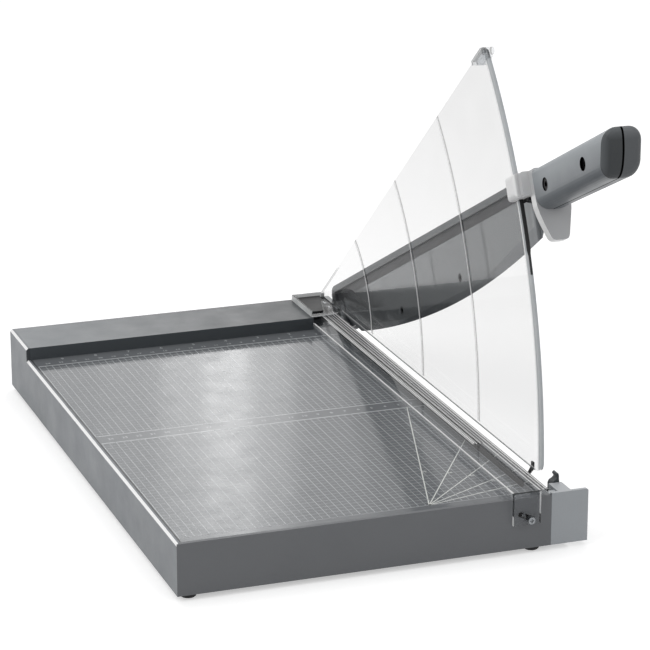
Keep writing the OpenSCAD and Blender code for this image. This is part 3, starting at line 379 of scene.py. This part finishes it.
def clear(name, tint, plain, edge, share, rough=0.02, index=1.3, low_tint=None):
    """Clear moulded sheet: nearly plain to look through; its narrow faces carry painted
    highlights and painted dark reflections.

    plain(finish) is 1 on the sheet's own faces. edge(finish) and share(finish) are the
    colour and the cover of its narrow faces. low_tint is the sheet's tint near the table.
    """
    f = Finish(name)
    haze = f.between(f.noise(30, 3, 0.6), 0.3, 0.7, 0, 1)
    through = f.add("ShaderNodeBsdfTransparent")
    high = f.mixed(haze, times(tint, 0.985), tint)
    if low_tint is not None:
        up = f.between(along(f, 2), TINT_LOW, TINT_HIGH, 0, 1)
        high = f.mixed(up, low_tint, high)
    f.join(high, through.inputs["Color"])
    gloss = f.add("ShaderNodeBsdfGlossy")
    gloss.inputs["Color"].default_value = (1, 1, 1, 1)
    f.join(
        f.between(f.noise(220, 3, 0.6), 0.4, 0.75, rough * 0.6, rough * 1.6),
        gloss.inputs["Roughness"],
    )
    f.join(f.bump(f.noise(60, 2, 0.5), 0.01 * MM, 0.4), gloss.inputs["Normal"])
    fresnel = f.add("ShaderNodeFresnel")
    fresnel.inputs["IOR"].default_value = index
    sheet = f.add("ShaderNodeMixShader")
    outer = f.between(inside(f), 0, 1, 1, 0)
    f.join(both(f, fresnel.outputs[0], outer), sheet.inputs["Fac"])
    f.join(through.outputs[0], sheet.inputs[1])
    f.join(gloss.outputs[0], sheet.inputs[2])
    # The narrow faces: painted highlights and painted dark reflections, in the colours edge()
    # gives
    painted_edges = f.shader(Roughness=0.3, Specular_IOR_Level=0.05)
    f.join(edge(f), painted_edges.inputs["Base Color"])
    f.join(share(f), painted_edges.inputs["Alpha"])
    body = f.add("ShaderNodeMixShader")
    f.join(plain(f), body.inputs["Fac"])
    f.join(painted_edges.outputs[0], body.inputs[1])
    f.join(sheet.outputs[0], body.inputs[2])
    lit = f.add("ShaderNodeBsdfTransparent")
    lit.inputs["Color"].default_value = times(tint, 0.95)
    lamp = f.add("ShaderNodeLightPath")
    mix = f.add("ShaderNodeMixShader")
    f.join(lamp.outputs["Is Shadow Ray"], mix.inputs["Fac"])
    f.join(body.outputs[0], mix.inputs[1])
    f.join(lit.outputs[0], mix.inputs[2])
    return f.ends(mix)


def guard_plain(f):
    """All of the guard but its arc's edge, a line beside it and its ribs."""
    rim = f.between(from_pivot(f), GUARD_RIM, GUARD_RIM + 0.3 * MM, 0, 1)
    rib = f.between(along(f, 0), GUARD_SHEET - 0.4 * MM, GUARD_SHEET - 0.1 * MM, 1, 0)
    lines = both(f, facing(f, 0), either(f, rim, rib))
    return opposite(f, either(f, lines, both(f, radial(f), opposite(f, facing(f, 0)))))


def rib_dark(f):
    """1 on the rib of each pair that gets a painted dark reflection."""
    left = f.add("ShaderNodeMath", operation="SUBTRACT")
    left.inputs[0].default_value = GUARD_RADIUS
    f.join(from_pivot(f), left.inputs[1])
    step = f.add("ShaderNodeMath", operation="MODULO")
    f.join(left.outputs[0], step.inputs[0])
    step.inputs[1].default_value = RIB_PITCH
    inner = f.between(step.outputs[0], RIB_PITCH * 0.49, RIB_PITCH * 0.5, 0, 1)
    above = f.between(along(f, 2), GUARD_FOOT + 2.0 * MM, GUARD_FOOT + 2.2 * MM, 0, 1)
    return both(f, inner, above)


def guard_foot(f):
    """1 on the lower half of the band along the guard's foot."""
    return f.between(along(f, 2), GUARD_FOOT + 0.9 * MM, GUARD_FOOT + 1.0 * MM, 1, 0)


def guard_edge(f):
    """Grey along the arc; of each pair of ribs one with a painted dark reflection and one with a
    painted highlight, as on the line beside the arc and the foot band's upper half; a dark foot
    line.
    """
    # Painted highlights near white and painted dark reflections on the clear sheet's narrow faces
    ribs = f.mixed(rib_dark(f), tone("fafafa"), tone("55585a"))
    ribs = f.mixed(guard_foot(f), ribs, tone("707375"))
    arc = f.between(from_pivot(f), GUARD_ARC, GUARD_ARC + 0.3 * MM, 0, 1)
    return f.mixed(arc, ribs, mottled(f, "acb0b3", "b6babd"))


def guard_share(f):
    """How much the guard's lines cover."""
    ribs = f.between(rib_dark(f), 0, 1, 0.5, 0.36)
    rim = f.between(from_pivot(f), GUARD_RIM - 1.4 * MM, GUARD_RIM - 0.4 * MM, 0, 0.88)
    return either(f, either(f, ribs, rim), f.between(guard_foot(f), 0, 1, 0, 0.9))


# Across the bar, its painted highlights and painted dark reflections: from which place on, how
# light, and how much of it covers
BAR_STRIPES = (
    (224.0, 0, 0),
    (224.4, 0.85, 0.85),
    (225.9, 0, 0),
    (236.2, 1.0, 1.0),
    (237.5, 0.06, 0.75),
    (238.4, 0.9, 0.9),
    (239.4, 0.0, 1.0),
    (241.2, 0.85, 0.9),
    (242.2, 0.04, 0.8),
    (243.4, 0.75, 0.85),
    (244.5, 0.1, 0.75),
    (245.6, 0.85, 0.9),
    (246.8, 0.2, 0.75),
    (247.8, 0.95, 0.95),
    (249.0, 0.2, 0.85),
    (249.8, 0.95, 0.95),
)


def bar_stripes(f):
    """The light and dark lines that the press bar's ridges make, painted as highlights and dark
    reflections, by their place across it.
    """
    first = BAR_STRIPES[0][0]
    share = f.between(along(f, 0), at_x(first), at_x(BAR_RIGHT), 0, 1)
    ramp = f.add("ShaderNodeValToRGB")
    ramp.color_ramp.interpolation = "CONSTANT"
    steps = ramp.color_ramp.elements
    steps.remove(steps[1])
    for k, (x, grey, cover) in enumerate(BAR_STRIPES):
        spot = (x - first) / (BAR_RIGHT - first)
        step = steps[0] if k == 0 else steps.new(spot)
        step.position = spot
        step.color = (grey, grey, grey, cover)
    f.join(share, ramp.inputs["Fac"])
    back = f.between(along(f, 1), BAR_RIDGES_FRONT, BAR_RIDGES_FRONT + 0.5 * MM, 0, 1)
    right = f.between(along(f, 0), BAR_RIDGES, BAR_RIDGES + 0.1 * MM, 0, 1)
    edge = f.between(along(f, 0), BAR_LEFT_LINE, BAR_LEFT_LINE + 0.1 * MM, 1, 0)
    there = either(f, either(f, back, right), edge)
    return ramp.outputs["Color"], both(f, ramp.outputs["Alpha"], there)


def bar_leg(f):
    """1 on the bar's leg in front."""
    return f.between(along(f, 1), BAR_LEG - 0.1 * MM, BAR_LEG + 0.1 * MM, 1, 0)


def bar_top(f):
    """1 on the bar's upper faces, seen from above."""
    return both(f, facing(f, 2), opposite(f, inside(f)))


def bar_bend(f):
    """The top of the bar's bend in front."""
    return both(f, bar_top(f), bar_leg(f))


def bar_plain(f):
    """1 where the bar is plain clear sheet."""
    cover = bar_stripes(f)[1]
    shown = f.between(both(f, cover, bar_top(f)), 0.3, 0.5, 0, 1)
    return opposite(f, either(f, either(f, shown, facing(f, 0)), bar_bend(f)))


def leg_high(f):
    """1 on the upper half of that leg, whose narrow faces mirror something else: their painted
    reflection swaps dark and pale there.
    """
    high = f.between(along(f, 2), BAR_LEG_MIDDLE - 0.5 * MM, BAR_LEG_MIDDLE + 0.5 * MM, 0, 1)
    return both(f, bar_leg(f), high)


def bar_edge(f):
    """The colours of the bar's lines, of its narrow faces and of its bend: painted highlights and
    painted dark reflections, and a dark top on the bend.
    """
    colour = bar_stripes(f)[0]
    pale = mottled(f, "eef0f0", "fafafa")
    # Painted reflection: the leg's narrow faces swap dark and pale on its upper half
    left = f.mixed(leg_high(f), pale, tone("1c1e20"))
    right = f.mixed(leg_high(f), tone("1c1e20"), pale)
    sides = f.mixed(inside(f), left, right)
    ridged = f.mixed(facing(f, 0), colour, sides)
    return f.mixed(bar_bend(f), ridged, tone("26282a"))


def bar_share(f):
    """How much those lines and faces cover."""
    cover = bar_stripes(f)[1]
    side = either(f, f.between(inside(f), 0, 1, 0.2, 0.8), f.between(bar_leg(f), 0, 1, 0, 0.7))
    mask = f.add("ShaderNodeMix", data_type="FLOAT")
    f.join(bar_top(f), mask.inputs["Factor"])
    f.join(side, mask.inputs[2])
    f.join(either(f, cover, bar_bend(f)), mask.inputs[3])
    return mask.outputs[0]


def line_edge(f):
    """White narrow faces, a painted highlight; dark where one looks through the sheet at them, a
    painted dark reflection.
    """
    return f.mixed(inside(f), mottled(f, "eef0f0", "fafafa"), tone("2a2c2e"))


def two_tone(name, first, second, mask, rough=0.38, grain=1300, depth=0.02 * MM, **more):
    """Moulded plastic or paint in two tones, told apart by mask(finish): 0 first, 1 second; on
    the end cap the two tones are painted light and shade on one grey.
    """
    f = Finish(name)
    cloud = f.between(f.noise(14, 3, 0.55), 0.3, 0.7, 0, 1)
    speck = f.between(f.noise(grain * 1.7, 1, 0.5), 0.35, 0.75, 0, 0.3)
    a = f.mixed(cloud, times(first, 0.95), times(first, 1.05))
    b = f.mixed(cloud, times(second, 0.95), times(second, 1.05))
    skin = f.mixed(mask(f), a, b)
    s = f.shader(Roughness=rough, **more)
    f.join(f.mixed(speck, skin, times(first, 0.8)), s.inputs["Base Color"])
    sheen(f, s, rough - 0.05, rough + 0.07)
    grained(f, s, grain, depth)
    return f.ends(s)


def arm_mask(f):
    """The arm: 1 on the light strip along its top, 0 in the recess under it."""
    return f.between(arm_place(f)[1], ARM_STRIP_LOW - 0.05 * MM, ARM_STRIP_LOW + 0.05 * MM, 0, 1)


def rail_tones(name):
    """The rail: dark in front, and on its top a painted shade that darkens it towards the right.
    """
    f = Finish(name)
    # Painted shade: the rail's top darkens from left to right
    painted_shade_ramp = f.between(along(f, 0), RAIL_PALE, RAIL_DARK, 0, 1)
    top = f.mixed(painted_shade_ramp, tone("72767a"), tone("282b2d"))
    cloud = f.between(f.noise(14, 3, 0.55), 0.3, 0.7, 0, 1)
    skin = f.mixed(cloud, top, f.mixed(painted_shade_ramp, tone("797d80"), tone("363a3c")))
    s = f.shader(Roughness=0.36)
    f.join(f.mixed(facing(f, 1), skin, tone("3c4145")), s.inputs["Base Color"])
    sheen(f, s, 0.32, 0.44)
    grained(f, s)
    return f.ends(s)


def blade_finish(name):
    """Ground steel: a paler field, and a darker band along the edge and at the front end."""
    f = Finish(name)
    back, high = arm_place(f)
    low = f.between(back, BAND_START[0], BAND_END[0], BAND_START[1], BAND_END[1])
    gap = f.add("ShaderNodeMath", operation="SUBTRACT")
    f.join(high, gap.inputs[0])
    f.join(low, gap.inputs[1])
    above = f.between(gap.outputs[0], -0.4 * MM, 0.6 * MM, 0, 1)
    behind = f.between(back, BLADE_FRONT - 0.3 * MM, BLADE_FRONT + 0.3 * MM, 0, 1)
    field = both(f, above, behind)
    lines = f.noise(1, 3, 0.6, f.stretched((1500, 40, 1500), ARM_TURN))
    grain = f.between(lines, 0.3, 0.7, 0, 1)
    pale = f.mixed(grain, times(tone("919496"), 0.97), tone("919496"))
    dark = f.mixed(grain, times(tone("7f8285"), 0.97), tone("7f8285"))
    s = f.shader(Metallic=0.5, Roughness=0.12)
    f.join(f.mixed(field, dark, pale), s.inputs["Base Color"])
    f.join(f.between(f.noise(25, 3, 0.6), 0.3, 0.7, 0.1, 0.15), s.inputs["Roughness"])
    f.join(f.bump(lines, 0.00012 * MM), s.inputs["Normal"])
    return f.ends(s)


def top_mask(f):
    """1 on faces that look up."""
    return facing(f, 2, 0.3, 0.5)


def wall_top(f):
    """The outer half of the left wall's upper edge, which gets a painted highlight."""
    outer = f.between(along(f, 0), WALL_LINE - 0.1 * MM, WALL_LINE + 0.1 * MM, 1, 0)
    return both(f, top_mask(f), outer)


def collar_finish(name):
    """The collar: a pale rim, a light block and a darker front plate, painted light and shade on
    one white plastic.
    """
    f = Finish(name)
    high = arm_place(f)[1]
    block = f.between(high, COLLAR_BLOCK_LOW - 1 * MM, COLLAR_BLOCK_LOW + 1 * MM, 0, 1)
    # Painted light and shade: the block lighter, the front plate darker
    body = f.mixed(block, clouded(f, 14, "9fa0a2", "a7a8aa"), clouded(f, 14, "babbbc", "c2c3c4"))
    s = f.shader(Roughness=0.35)
    slot = both(f, block, beside(f, along(f, 0), COLLAR_SLOT, 4.2 * MM, 4.4 * MM))
    # Painted highlight: faces looking sideways, but the slot's walls, and faces looking up near
    # white
    side = both(f, facing(f, 0, 0.3, 0.6), opposite(f, slot))
    pale = either(f, side, facing(f, 2, 0.55, 0.8))
    f.join(f.mixed(pale, body, tone("ececec")), s.inputs["Base Color"])
    sheen(f, s, 0.3, 0.42)
    grained(f, s)
    return f.ends(s)


def cap_finish(name):
    """The grip's end: two tones parted by a slightly bowed dark joint, with painted light making
    it paler at the rim.
    """
    f = Finish(name)
    tall = (CAP_HIGH - CAP_LOW) / 2
    up = f.between(along(f, 2), CAP_LOW, CAP_HIGH, -1, 1)
    bow = f.add("ShaderNodeMath", operation="MULTIPLY_ADD")
    f.join(both(f, up, up), bow.inputs[0])
    bow.inputs[1].default_value = CAP_BOW
    f.join(along(f, 0), bow.inputs[2])
    joint = beside(f, bow.outputs[0], PART_X + 0.8 * MM, 0.6 * MM, 0.8 * MM)
    right = f.between(bow.outputs[0], PART_X + 0.7 * MM, PART_X + 0.9 * MM, 0, 1)
    body = f.mixed(right, clouded(f, 18, "1f2326", "25292c"), clouded(f, 18, "45484b", "4b4e51"))
    # Painted light: the rim paler, towards the top and at the outer sides
    rim = either(
        f,
        f.between(along(f, 2), CAP_HIGH - tall * 0.45, CAP_HIGH - tall * 0.1, 0, 0.75),
        opposite(f, beside(f, along(f, 0), PART_X + 1.2 * MM, 9.5 * MM, 16.5 * MM)),
    )
    skin = f.mixed(rim, body, f.mixed(right, tone("565a5d"), tone("6a6d70")))
    s = f.shader(Roughness=0.5)
    f.join(f.mixed(joint, skin, tone("030303")), s.inputs["Base Color"])
    f.join(f.between(joint, 0, 1, 0.5, 0), s.inputs["Specular IOR Level"])
    sheen(f, s, 0.44, 0.58)
    grained(f, s, 900, 0.03 * MM)
    return f.ends(s)


def handle_finish(name):
    """The grip: painted light and shade making it paler above than below, its lower joint a dark
    line, its sinkings painted black as shade.
    """
    f = Finish(name)
    back, high = arm_place(f)
    # Painted light and shade: paler above, darker below
    body = f.mixed(
        f.between(high, -2 * MM, 17 * MM, 0, 1),
        clouded(f, 14, "5e6266", "666a6e"),
        clouded(f, 14, "92979b", "9a9fa3"),
    )
    black = beside(f, along(f, 0), PART_X, 0.4 * MM, 0.6 * MM)
    spot = f.add("ShaderNodeCombineXYZ")
    f.join(back, spot.inputs[0])
    f.join(high, spot.inputs[1])
    # Painted shade: the sinkings' walls black
    for screw_back, screw_high in HANDLE_SCREWS:
        far = f.add("ShaderNodeVectorMath", operation="DISTANCE")
        f.join(spot.outputs[0], far.inputs[0])
        far.inputs[1].default_value = (screw_back, screw_high, 0)
        sunk = f.between(far.outputs["Value"], SINKING, SINKING + 0.04 * MM, 1, 0)
        black = either(f, black, sunk)
    s = f.shader(Roughness=0.4)
    f.join(f.mixed(black, body, tone("030303")), s.inputs["Base Color"])
    f.join(f.between(black, 0, 1, 0.5, 0), s.inputs["Specular IOR Level"])
    sheen(f, s, 0.35, 0.47)
    grained(f, s)
    return f.ends(s)


def wall_finish(name):
    """The left wall: a painted highlight along its upper edge's outer line, its face in the
    rail's front dark.
    """
    f = Finish(name)
    rear = both(f, facing(f, 1), f.between(along(f, 1), RAIL_FRONT, RAIL_FRONT + 1 * MM, 0, 1))
    body = f.mixed(rear, clouded(f, 14, "696d71", "71757a"), tone("2c3033"))
    s = f.shader(Roughness=0.42)
    # Painted highlight: the upper edge's outer line near white
    f.join(f.mixed(wall_top(f), body, (0.97, 0.97, 0.97, 1)), s.inputs["Base Color"])
    sheen(f, s, 0.37, 0.49)
    grained(f, s)
    return f.ends(s)


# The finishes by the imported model's slots
cap_tones = cap_finish("cap_tones")
finishes = {
    "shell_dark": moulded("shell_dark", tone("606265")),
    "inner_dark": moulded("inner_dark", tone("3a3c3f")),
    "rail": rail_tones("rail"),
    "table": moulded(
        "table", tone("696c6f"), 0.1, FINE_GRAIN, FINE_DEPTH, 0.03, Specular_IOR_Level=0.25
    ),
    "blade_steel": blade_finish("blade_steel"),
    "bright_steel": metal("bright_steel", tone("c4c6c8"), 0.25),
    "black_steel": metal("black_steel", tone("141516"), 0.3),
    "bush_brass": metal("bush_brass", tone("b69a5c"), 0.3),
    "clear": clear(
        "clear",
        (0.875, 0.875, 0.875, 1),
        guard_plain,
        guard_edge,
        guard_share,
        rough=0.03,
        index=1.15,
        low_tint=(0.925, 0.925, 0.925, 1),
    ),
    "rubber": moulded("rubber", tone("101113"), 0.7, 900, 0.04 * MM),
    "black": moulded("black", tone("0d0e0f"), 0.4),
    "lever_dark": moulded("lever_dark", tone("33373a"), 0.35),
    "arm_grey": two_tone(
        "arm_grey", tone("3c3e42"), tone("888c8f"), arm_mask, Specular_IOR_Level=0.3
    ),
    "collar_white": collar_finish("collar"),
    "handle_grey": handle_finish("handle_tones"),
    "cap_dark": cap_tones,
    "cap_mid": cap_tones,
}

# The nodes that differ from their slot, or have one to themselves
own_finish = {
    "left_panel": wall_finish("left_wall"),
    # The end cap's upper faces paler than its others: painted light on one grey plastic
    "end_cap": two_tone("end_cap", tone("9b9fa3"), tone("b9bcbf"), top_mask, 0.42),
    # The steel strip nearly white and barely metallic: a painted highlight standing in for the
    # bright light it reflects
    "counter_blade": metal(
        "strip_steel", tone("eceded"), 0.3, run=(4000, 60, 4000), depth=0.001 * MM, share=0.2
    ),
    "press_bar": clear("clear_bar", (0.93, 0.935, 0.94, 1), bar_plain, bar_edge, bar_share),
    "clamp_cover": clear(
        "clear_cover",
        (0.86, 0.865, 0.87, 1),
        lambda f: facing(f, 2),
        line_edge,
        lambda f: f.between(f.noise(60, 2, 0.5), 0.3, 0.7, 0.75, 0.9),
    ),
    # The clip's narrow faces: grey, and dark where one looks through the sheet at them, a painted
    # dark reflection
    "stop_clip": clear(
        "clear_clip",
        (0.84, 0.85, 0.86, 1),
        lambda f: facing(f, 0),
        lambda f: f.mixed(inside(f), tone("a5a8aa"), tone("222426")),
        lambda f: f.between(inside(f), 0, 1, 0.12, 0.5),
    ),
    "cover_plate": moulded("inlay", tone("0e0f10"), 0.5),
    "clamp_screw": metal("screw_grey", tone("8e9194"), 0.3),
    "handle_screws": moulded(
        "screw_black", tone("050506"), 0.3, 900, 0.01 * MM, Specular_IOR_Level=0.1
    ),
}

slot_of = {p["node"]: p["material_slot"] for p in frame["record"]["subparts"]}
for name, piece in parts.items():
    finish = own_finish[name] if name in own_finish else finishes[slot_of[name]]
    piece.data.materials.clear()
    piece.data.materials.append(finish)


# The table's print, in millimetres of the drawing: its edges, and the band of numbers
# across its middle

TABLE_TOP = 34.8
PRINT_LEFT = 4.8
PRINT_RIGHT = 249.8
PRINT_FRONT = 10.0
PRINT_BACK = 366.0
BAND_FRONT = 191.0
BAND_BACK = 205.5

# How far the ink stands above the sheet
INK = 0.03

# The line pattern: its widths take turns, and it stops short of the band
LINE_PITCH = 5.0
BAND_MARGIN = 1.0
LINES_BACK = (0.36, 0.25)
LINES_ACROSS = (0.24, 0.17)
FRAME_LINE = 0.9
FRONT_LINE = 0.7

# The numbers count from the cut to the left: how many, how high, and where the rear rows stand
CUT = 254.8
CENTIMETRE = 10
CENTIMETRES = 24
INCH = 25.4
INCHES = 9
NUMBER_SHIFT = 1.6
BAND_NUMBER = 3.0
REAR_NUMBER = 2.6
REAR_ROW = 371.0
INCH_NUMBER = 3.4
INCH_ROW = 378.6
# A number's height as a share of its letters' size
NUMBER_SHARE = 0.7

# The fan of angles: its centre, each line's number, angle and length, and its numbers' place
FAN_X = 171.8
FAN_Y = 10.0
FAN = (
    ("75", 73.0, 190),
    ("60", 57.0, 126),
    ("45", 42.6, 111),
    ("30", 27.2, 88),
    ("15", 12.9, 79),
)
FAN_LINE = 0.75
FAN_NUMBER = 2.4
FAN_NUMBER_FAR = 61
FAN_NUMBER_RIGHT = 1.5
FAN_NUMBER_DOWN = 1.0

# A black strip along the table's left edge: painted shade in the groove there
GROOVE_X = 3.5
GROOVE_FRONT = 3.2
GROOVE_BACK = 382.7
GROOVE_WIDTH = 0.9


def ink(name, colour):
    """Printed ink: nearly as smooth as the table under it."""
    return moulded(name, colour, 0.2, FINE_GRAIN, FINE_DEPTH, 0.02)


def bar(bm, start, end, width):
    """A printed line from start to end, as a very flat bar."""
    a, b = Vector(start), Vector(end)
    middle, run = (a + b) / 2, b - a
    size = Matrix.Diagonal((run.length, width, INK * 2, 1))
    turn = Matrix.Rotation(math.atan2(run.y, run.x), 4, "Z")
    spot = Matrix.Translation((middle.x, middle.y, TABLE_TOP))
    bmesh.ops.create_cube(bm, size=1.0, matrix=spot @ turn @ size)


def numeral(bm, words, x, y, height):
    """A printed number, centred on x and y."""
    curve = bpy.data.curves.new("numeral", "FONT")
    curve.body = words
    curve.size = height / NUMBER_SHARE
    curve.align_x = "CENTER"
    curve.align_y = "CENTER"
    curve.extrude = INK
    curve.resolution_u = 2
    text = bpy.data.objects.new("numeral", curve)
    shape = text.to_mesh()
    first = len(bm.verts)
    bm.from_mesh(shape)
    bm.verts.ensure_lookup_table()
    new = bm.verts[first:]
    bmesh.ops.translate(bm, verts=new, vec=(x, y, TABLE_TOP))
    text.to_mesh_clear()
    bpy.data.objects.remove(text)
    bpy.data.curves.remove(curve)


def finished(bm, name, material, body):
    """Puts a shape drawn in millimetres into the frame and onto its body."""
    bmesh.ops.remove_doubles(bm, verts=bm.verts, dist=0.0001)
    bmesh.ops.recalc_face_normals(bm, faces=bm.faces)
    place = Matrix.Scale(MM, 4) @ Matrix.Translation(DRAWING_ZERO)
    bmesh.ops.transform(bm, matrix=place, verts=bm.verts)
    mesh = bpy.data.meshes.new(name)
    bm.to_mesh(mesh)
    bm.free()
    piece = bpy.data.objects.new(name, mesh)
    bpy.context.scene.collection.objects.link(piece)
    mesh.materials.append(material)
    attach(piece, body)


def places(first, last):
    """The places of the pattern's lines from first to last."""
    count = int((last - first + 0.1) / LINE_PITCH) + 1
    return [first + LINE_PITCH * k for k in range(count)]


print_finish = ink("table_print_white", tone("bcbfc1"))

grid = bmesh.new()
for k, x in enumerate(places(PRINT_LEFT, PRINT_RIGHT)):
    wide = LINES_BACK[k % 2]
    bar(grid, (x, PRINT_FRONT), (x, BAND_FRONT), wide)
    bar(grid, (x, BAND_BACK), (x, PRINT_BACK), wide)
for k, y in enumerate(places(PRINT_FRONT, PRINT_BACK)):
    in_band = BAND_FRONT - BAND_MARGIN < y < BAND_BACK + BAND_MARGIN
    if not in_band:
        bar(grid, (PRINT_LEFT, y), (PRINT_RIGHT, y), LINES_ACROSS[k % 2])
finished(grid, "table_grid", print_finish, "base")

scales = bmesh.new()
for y in (BAND_FRONT, BAND_BACK, PRINT_BACK):
    bar(scales, (PRINT_LEFT, y), (PRINT_RIGHT, y), FRAME_LINE)
bar(scales, (PRINT_LEFT, PRINT_FRONT), (PRINT_RIGHT, PRINT_FRONT), FRONT_LINE)
for n in range(1, CENTIMETRES + 1):
    x = CUT - CENTIMETRE * n - NUMBER_SHIFT
    numeral(scales, str(n), x, (BAND_FRONT + BAND_BACK) / 2, BAND_NUMBER)
    numeral(scales, str(n), x, REAR_ROW, REAR_NUMBER)
for n in range(1, INCHES + 1):
    numeral(scales, str(n), CUT - INCH * n, INCH_ROW, INCH_NUMBER)
finished(scales, "table_scales", print_finish, "base")

fan = bmesh.new()
for words, angle, reach in FAN:
    right = math.cos(math.radians(angle))
    back = math.sin(math.radians(angle))
    bar(fan, (FAN_X, FAN_Y), (FAN_X + right * reach, FAN_Y + back * reach), FAN_LINE)
    x = FAN_X + right * FAN_NUMBER_FAR + FAN_NUMBER_RIGHT
    y = FAN_Y + back * FAN_NUMBER_FAR - FAN_NUMBER_DOWN
    numeral(fan, words, x, y, FAN_NUMBER)
finished(fan, "table_fan", ink("table_fan_white", tone("e6e8e4")), "base")

# Painted shade: a black strip in the groove
groove = bmesh.new()
bar(groove, (GROOVE_X, GROOVE_FRONT), (GROOVE_X, GROOVE_BACK), GROOVE_WIDTH)
finished(groove, "table_groove_shade", finishes["black"], "base")

# Light, ground and camera

# How bright the surroundings are as light, and as the camera, a mirror or a clear sheet sees them
SKY_LIGHT = 0.5
SKY_SEEN = 1.0
FLOOR_GLOW = 0.45
FLOOR_HALF = 6

# The row of panels: which way, how high and how far it stands from the table, and its height
PANEL_TURN = math.radians(16.8)
PANEL_RISE = math.radians(20.4)
PANEL_FAR = 3.4
PANEL_TALL = 0.6
# For each panel its name, how far left its middle is, its width and its brightness
PANELS = (
    ("strip", 0.0, 0.09, 9.6),
    ("strip_a", 0.085, 0.08, 5.5),
    ("strip_b", -0.085, 0.08, 4.5),
    ("strip_c", 0.185, 0.12, 2.4),
    ("strip_d", -0.195, 0.14, 1.0),
    ("strip_e", 0.41, 0.33, 1.6),
    ("strip_f", 0.8, 0.45, 1.8),
    ("strip_g", -0.39, 0.25, 0.15),
)


def seen_straight(tree):
    """1 for what the camera, a mirror or a clear sheet sees, and 0 for the light given off."""
    rays = tree.nodes.new("ShaderNodeLightPath")
    total = rays.outputs["Is Camera Ray"]
    for kind in ("Is Glossy Ray", "Is Transmission Ray"):
        more = tree.nodes.new("ShaderNodeMath")
        more.operation = "ADD"
        more.use_clamp = True
        tree.links.new(total, more.inputs[0])
        tree.links.new(rays.outputs[kind], more.inputs[1])
        total = more.outputs[0]
    return total


world = bpy.data.worlds.new("studio")
bpy.context.scene.world = world
world.use_nodes = True
tree = world.node_tree
tree.nodes.clear()
strength = tree.nodes.new("ShaderNodeMapRange")
strength.inputs["To Min"].default_value = SKY_LIGHT
strength.inputs["To Max"].default_value = SKY_SEEN
tree.links.new(seen_straight(tree), strength.inputs["Value"])
sky = tree.nodes.new("ShaderNodeBackground")
sky.inputs["Color"].default_value = (1, 1, 1, 1)
tree.links.new(strength.outputs["Result"], sky.inputs["Strength"])
world_out = tree.nodes.new("ShaderNodeOutputWorld")
tree.links.new(sky.outputs[0], world_out.inputs["Surface"])

floor_bm = bmesh.new()
bmesh.ops.create_grid(floor_bm, x_segments=1, y_segments=1, size=FLOOR_HALF)
floor_mesh = bpy.data.meshes.new("floor")
floor_bm.to_mesh(floor_mesh)
floor_bm.free()
floor = bpy.data.objects.new("floor", floor_mesh)
bpy.context.scene.collection.objects.link(floor)
ground = Finish("floor")
paint = ground.shader(Roughness=0.9, Specular_IOR_Level=0.1)
paint.inputs["Base Color"].default_value = (0.8, 0.8, 0.8, 1)
paint.inputs["Emission Color"].default_value = (1, 1, 1, 1)
glow = ground.between(seen_straight(ground.tree), 0, 1, 0, FLOOR_GLOW)
ground.join(glow, paint.inputs["Emission Strength"])
floor_mesh.materials.append(ground.ends(paint))


def soft_lamp(name, spot, aim, width, height, watts):
    """A plain panel of light that looks at aim and isn't seen itself."""
    data = bpy.data.lights.new(name, "AREA")
    data.shape = "RECTANGLE"
    data.size = width
    data.size_y = height
    data.energy = watts
    lamp = bpy.data.objects.new(name, data)
    bpy.context.scene.collection.objects.link(lamp)
    lamp.location = spot
    lamp.rotation_euler = (Vector(aim) - Vector(spot)).to_track_quat("-Z", "Y").to_euler()
    lamp.visible_camera = False


soft_lamp("key", (-1.7, -0.7, 1.7), (0, 0, 0.05), 1.4, 1.4, 14)
soft_lamp("fill", (0.6, -2.2, 1.6), (0, 0, 0.1), 1.6, 1.2, 8)
soft_lamp("top", (0.2, 0.8, 2.4), (0, 0, 0), 1.6, 1.6, 15)

# Tall panels side by side far behind, which the glossy table mirrors as a soft bright band
row_middle = PANEL_FAR * Vector(
    (
        math.cos(PANEL_RISE) * math.sin(PANEL_TURN),
        math.cos(PANEL_RISE) * math.cos(PANEL_TURN),
        math.sin(PANEL_RISE),
    )
)
row_left = Vector((-math.cos(PANEL_TURN), math.sin(PANEL_TURN), 0))
for name, left, width, brightness in PANELS:
    watts = brightness * width * PANEL_TALL
    soft_lamp(name, row_middle + row_left * left, (0, 0, 0), width, PANEL_TALL, watts)

# The camera stands where the view in the photograph was taken from
camera_data = bpy.data.cameras.new("camera")
camera_data.sensor_width = 36.0
camera_data.lens = 154.99
camera_data.clip_end = 50
camera = bpy.data.objects.new("camera", camera_data)
bpy.context.scene.collection.objects.link(camera)
camera.location = (-0.5949, -1.72538, 0.6921)
camera.rotation_euler = (math.radians(72.34), 0, math.radians(-19.72))
bpy.context.scene.camera = camera
bpy.context.scene.view_settings.view_transform = "Standard"
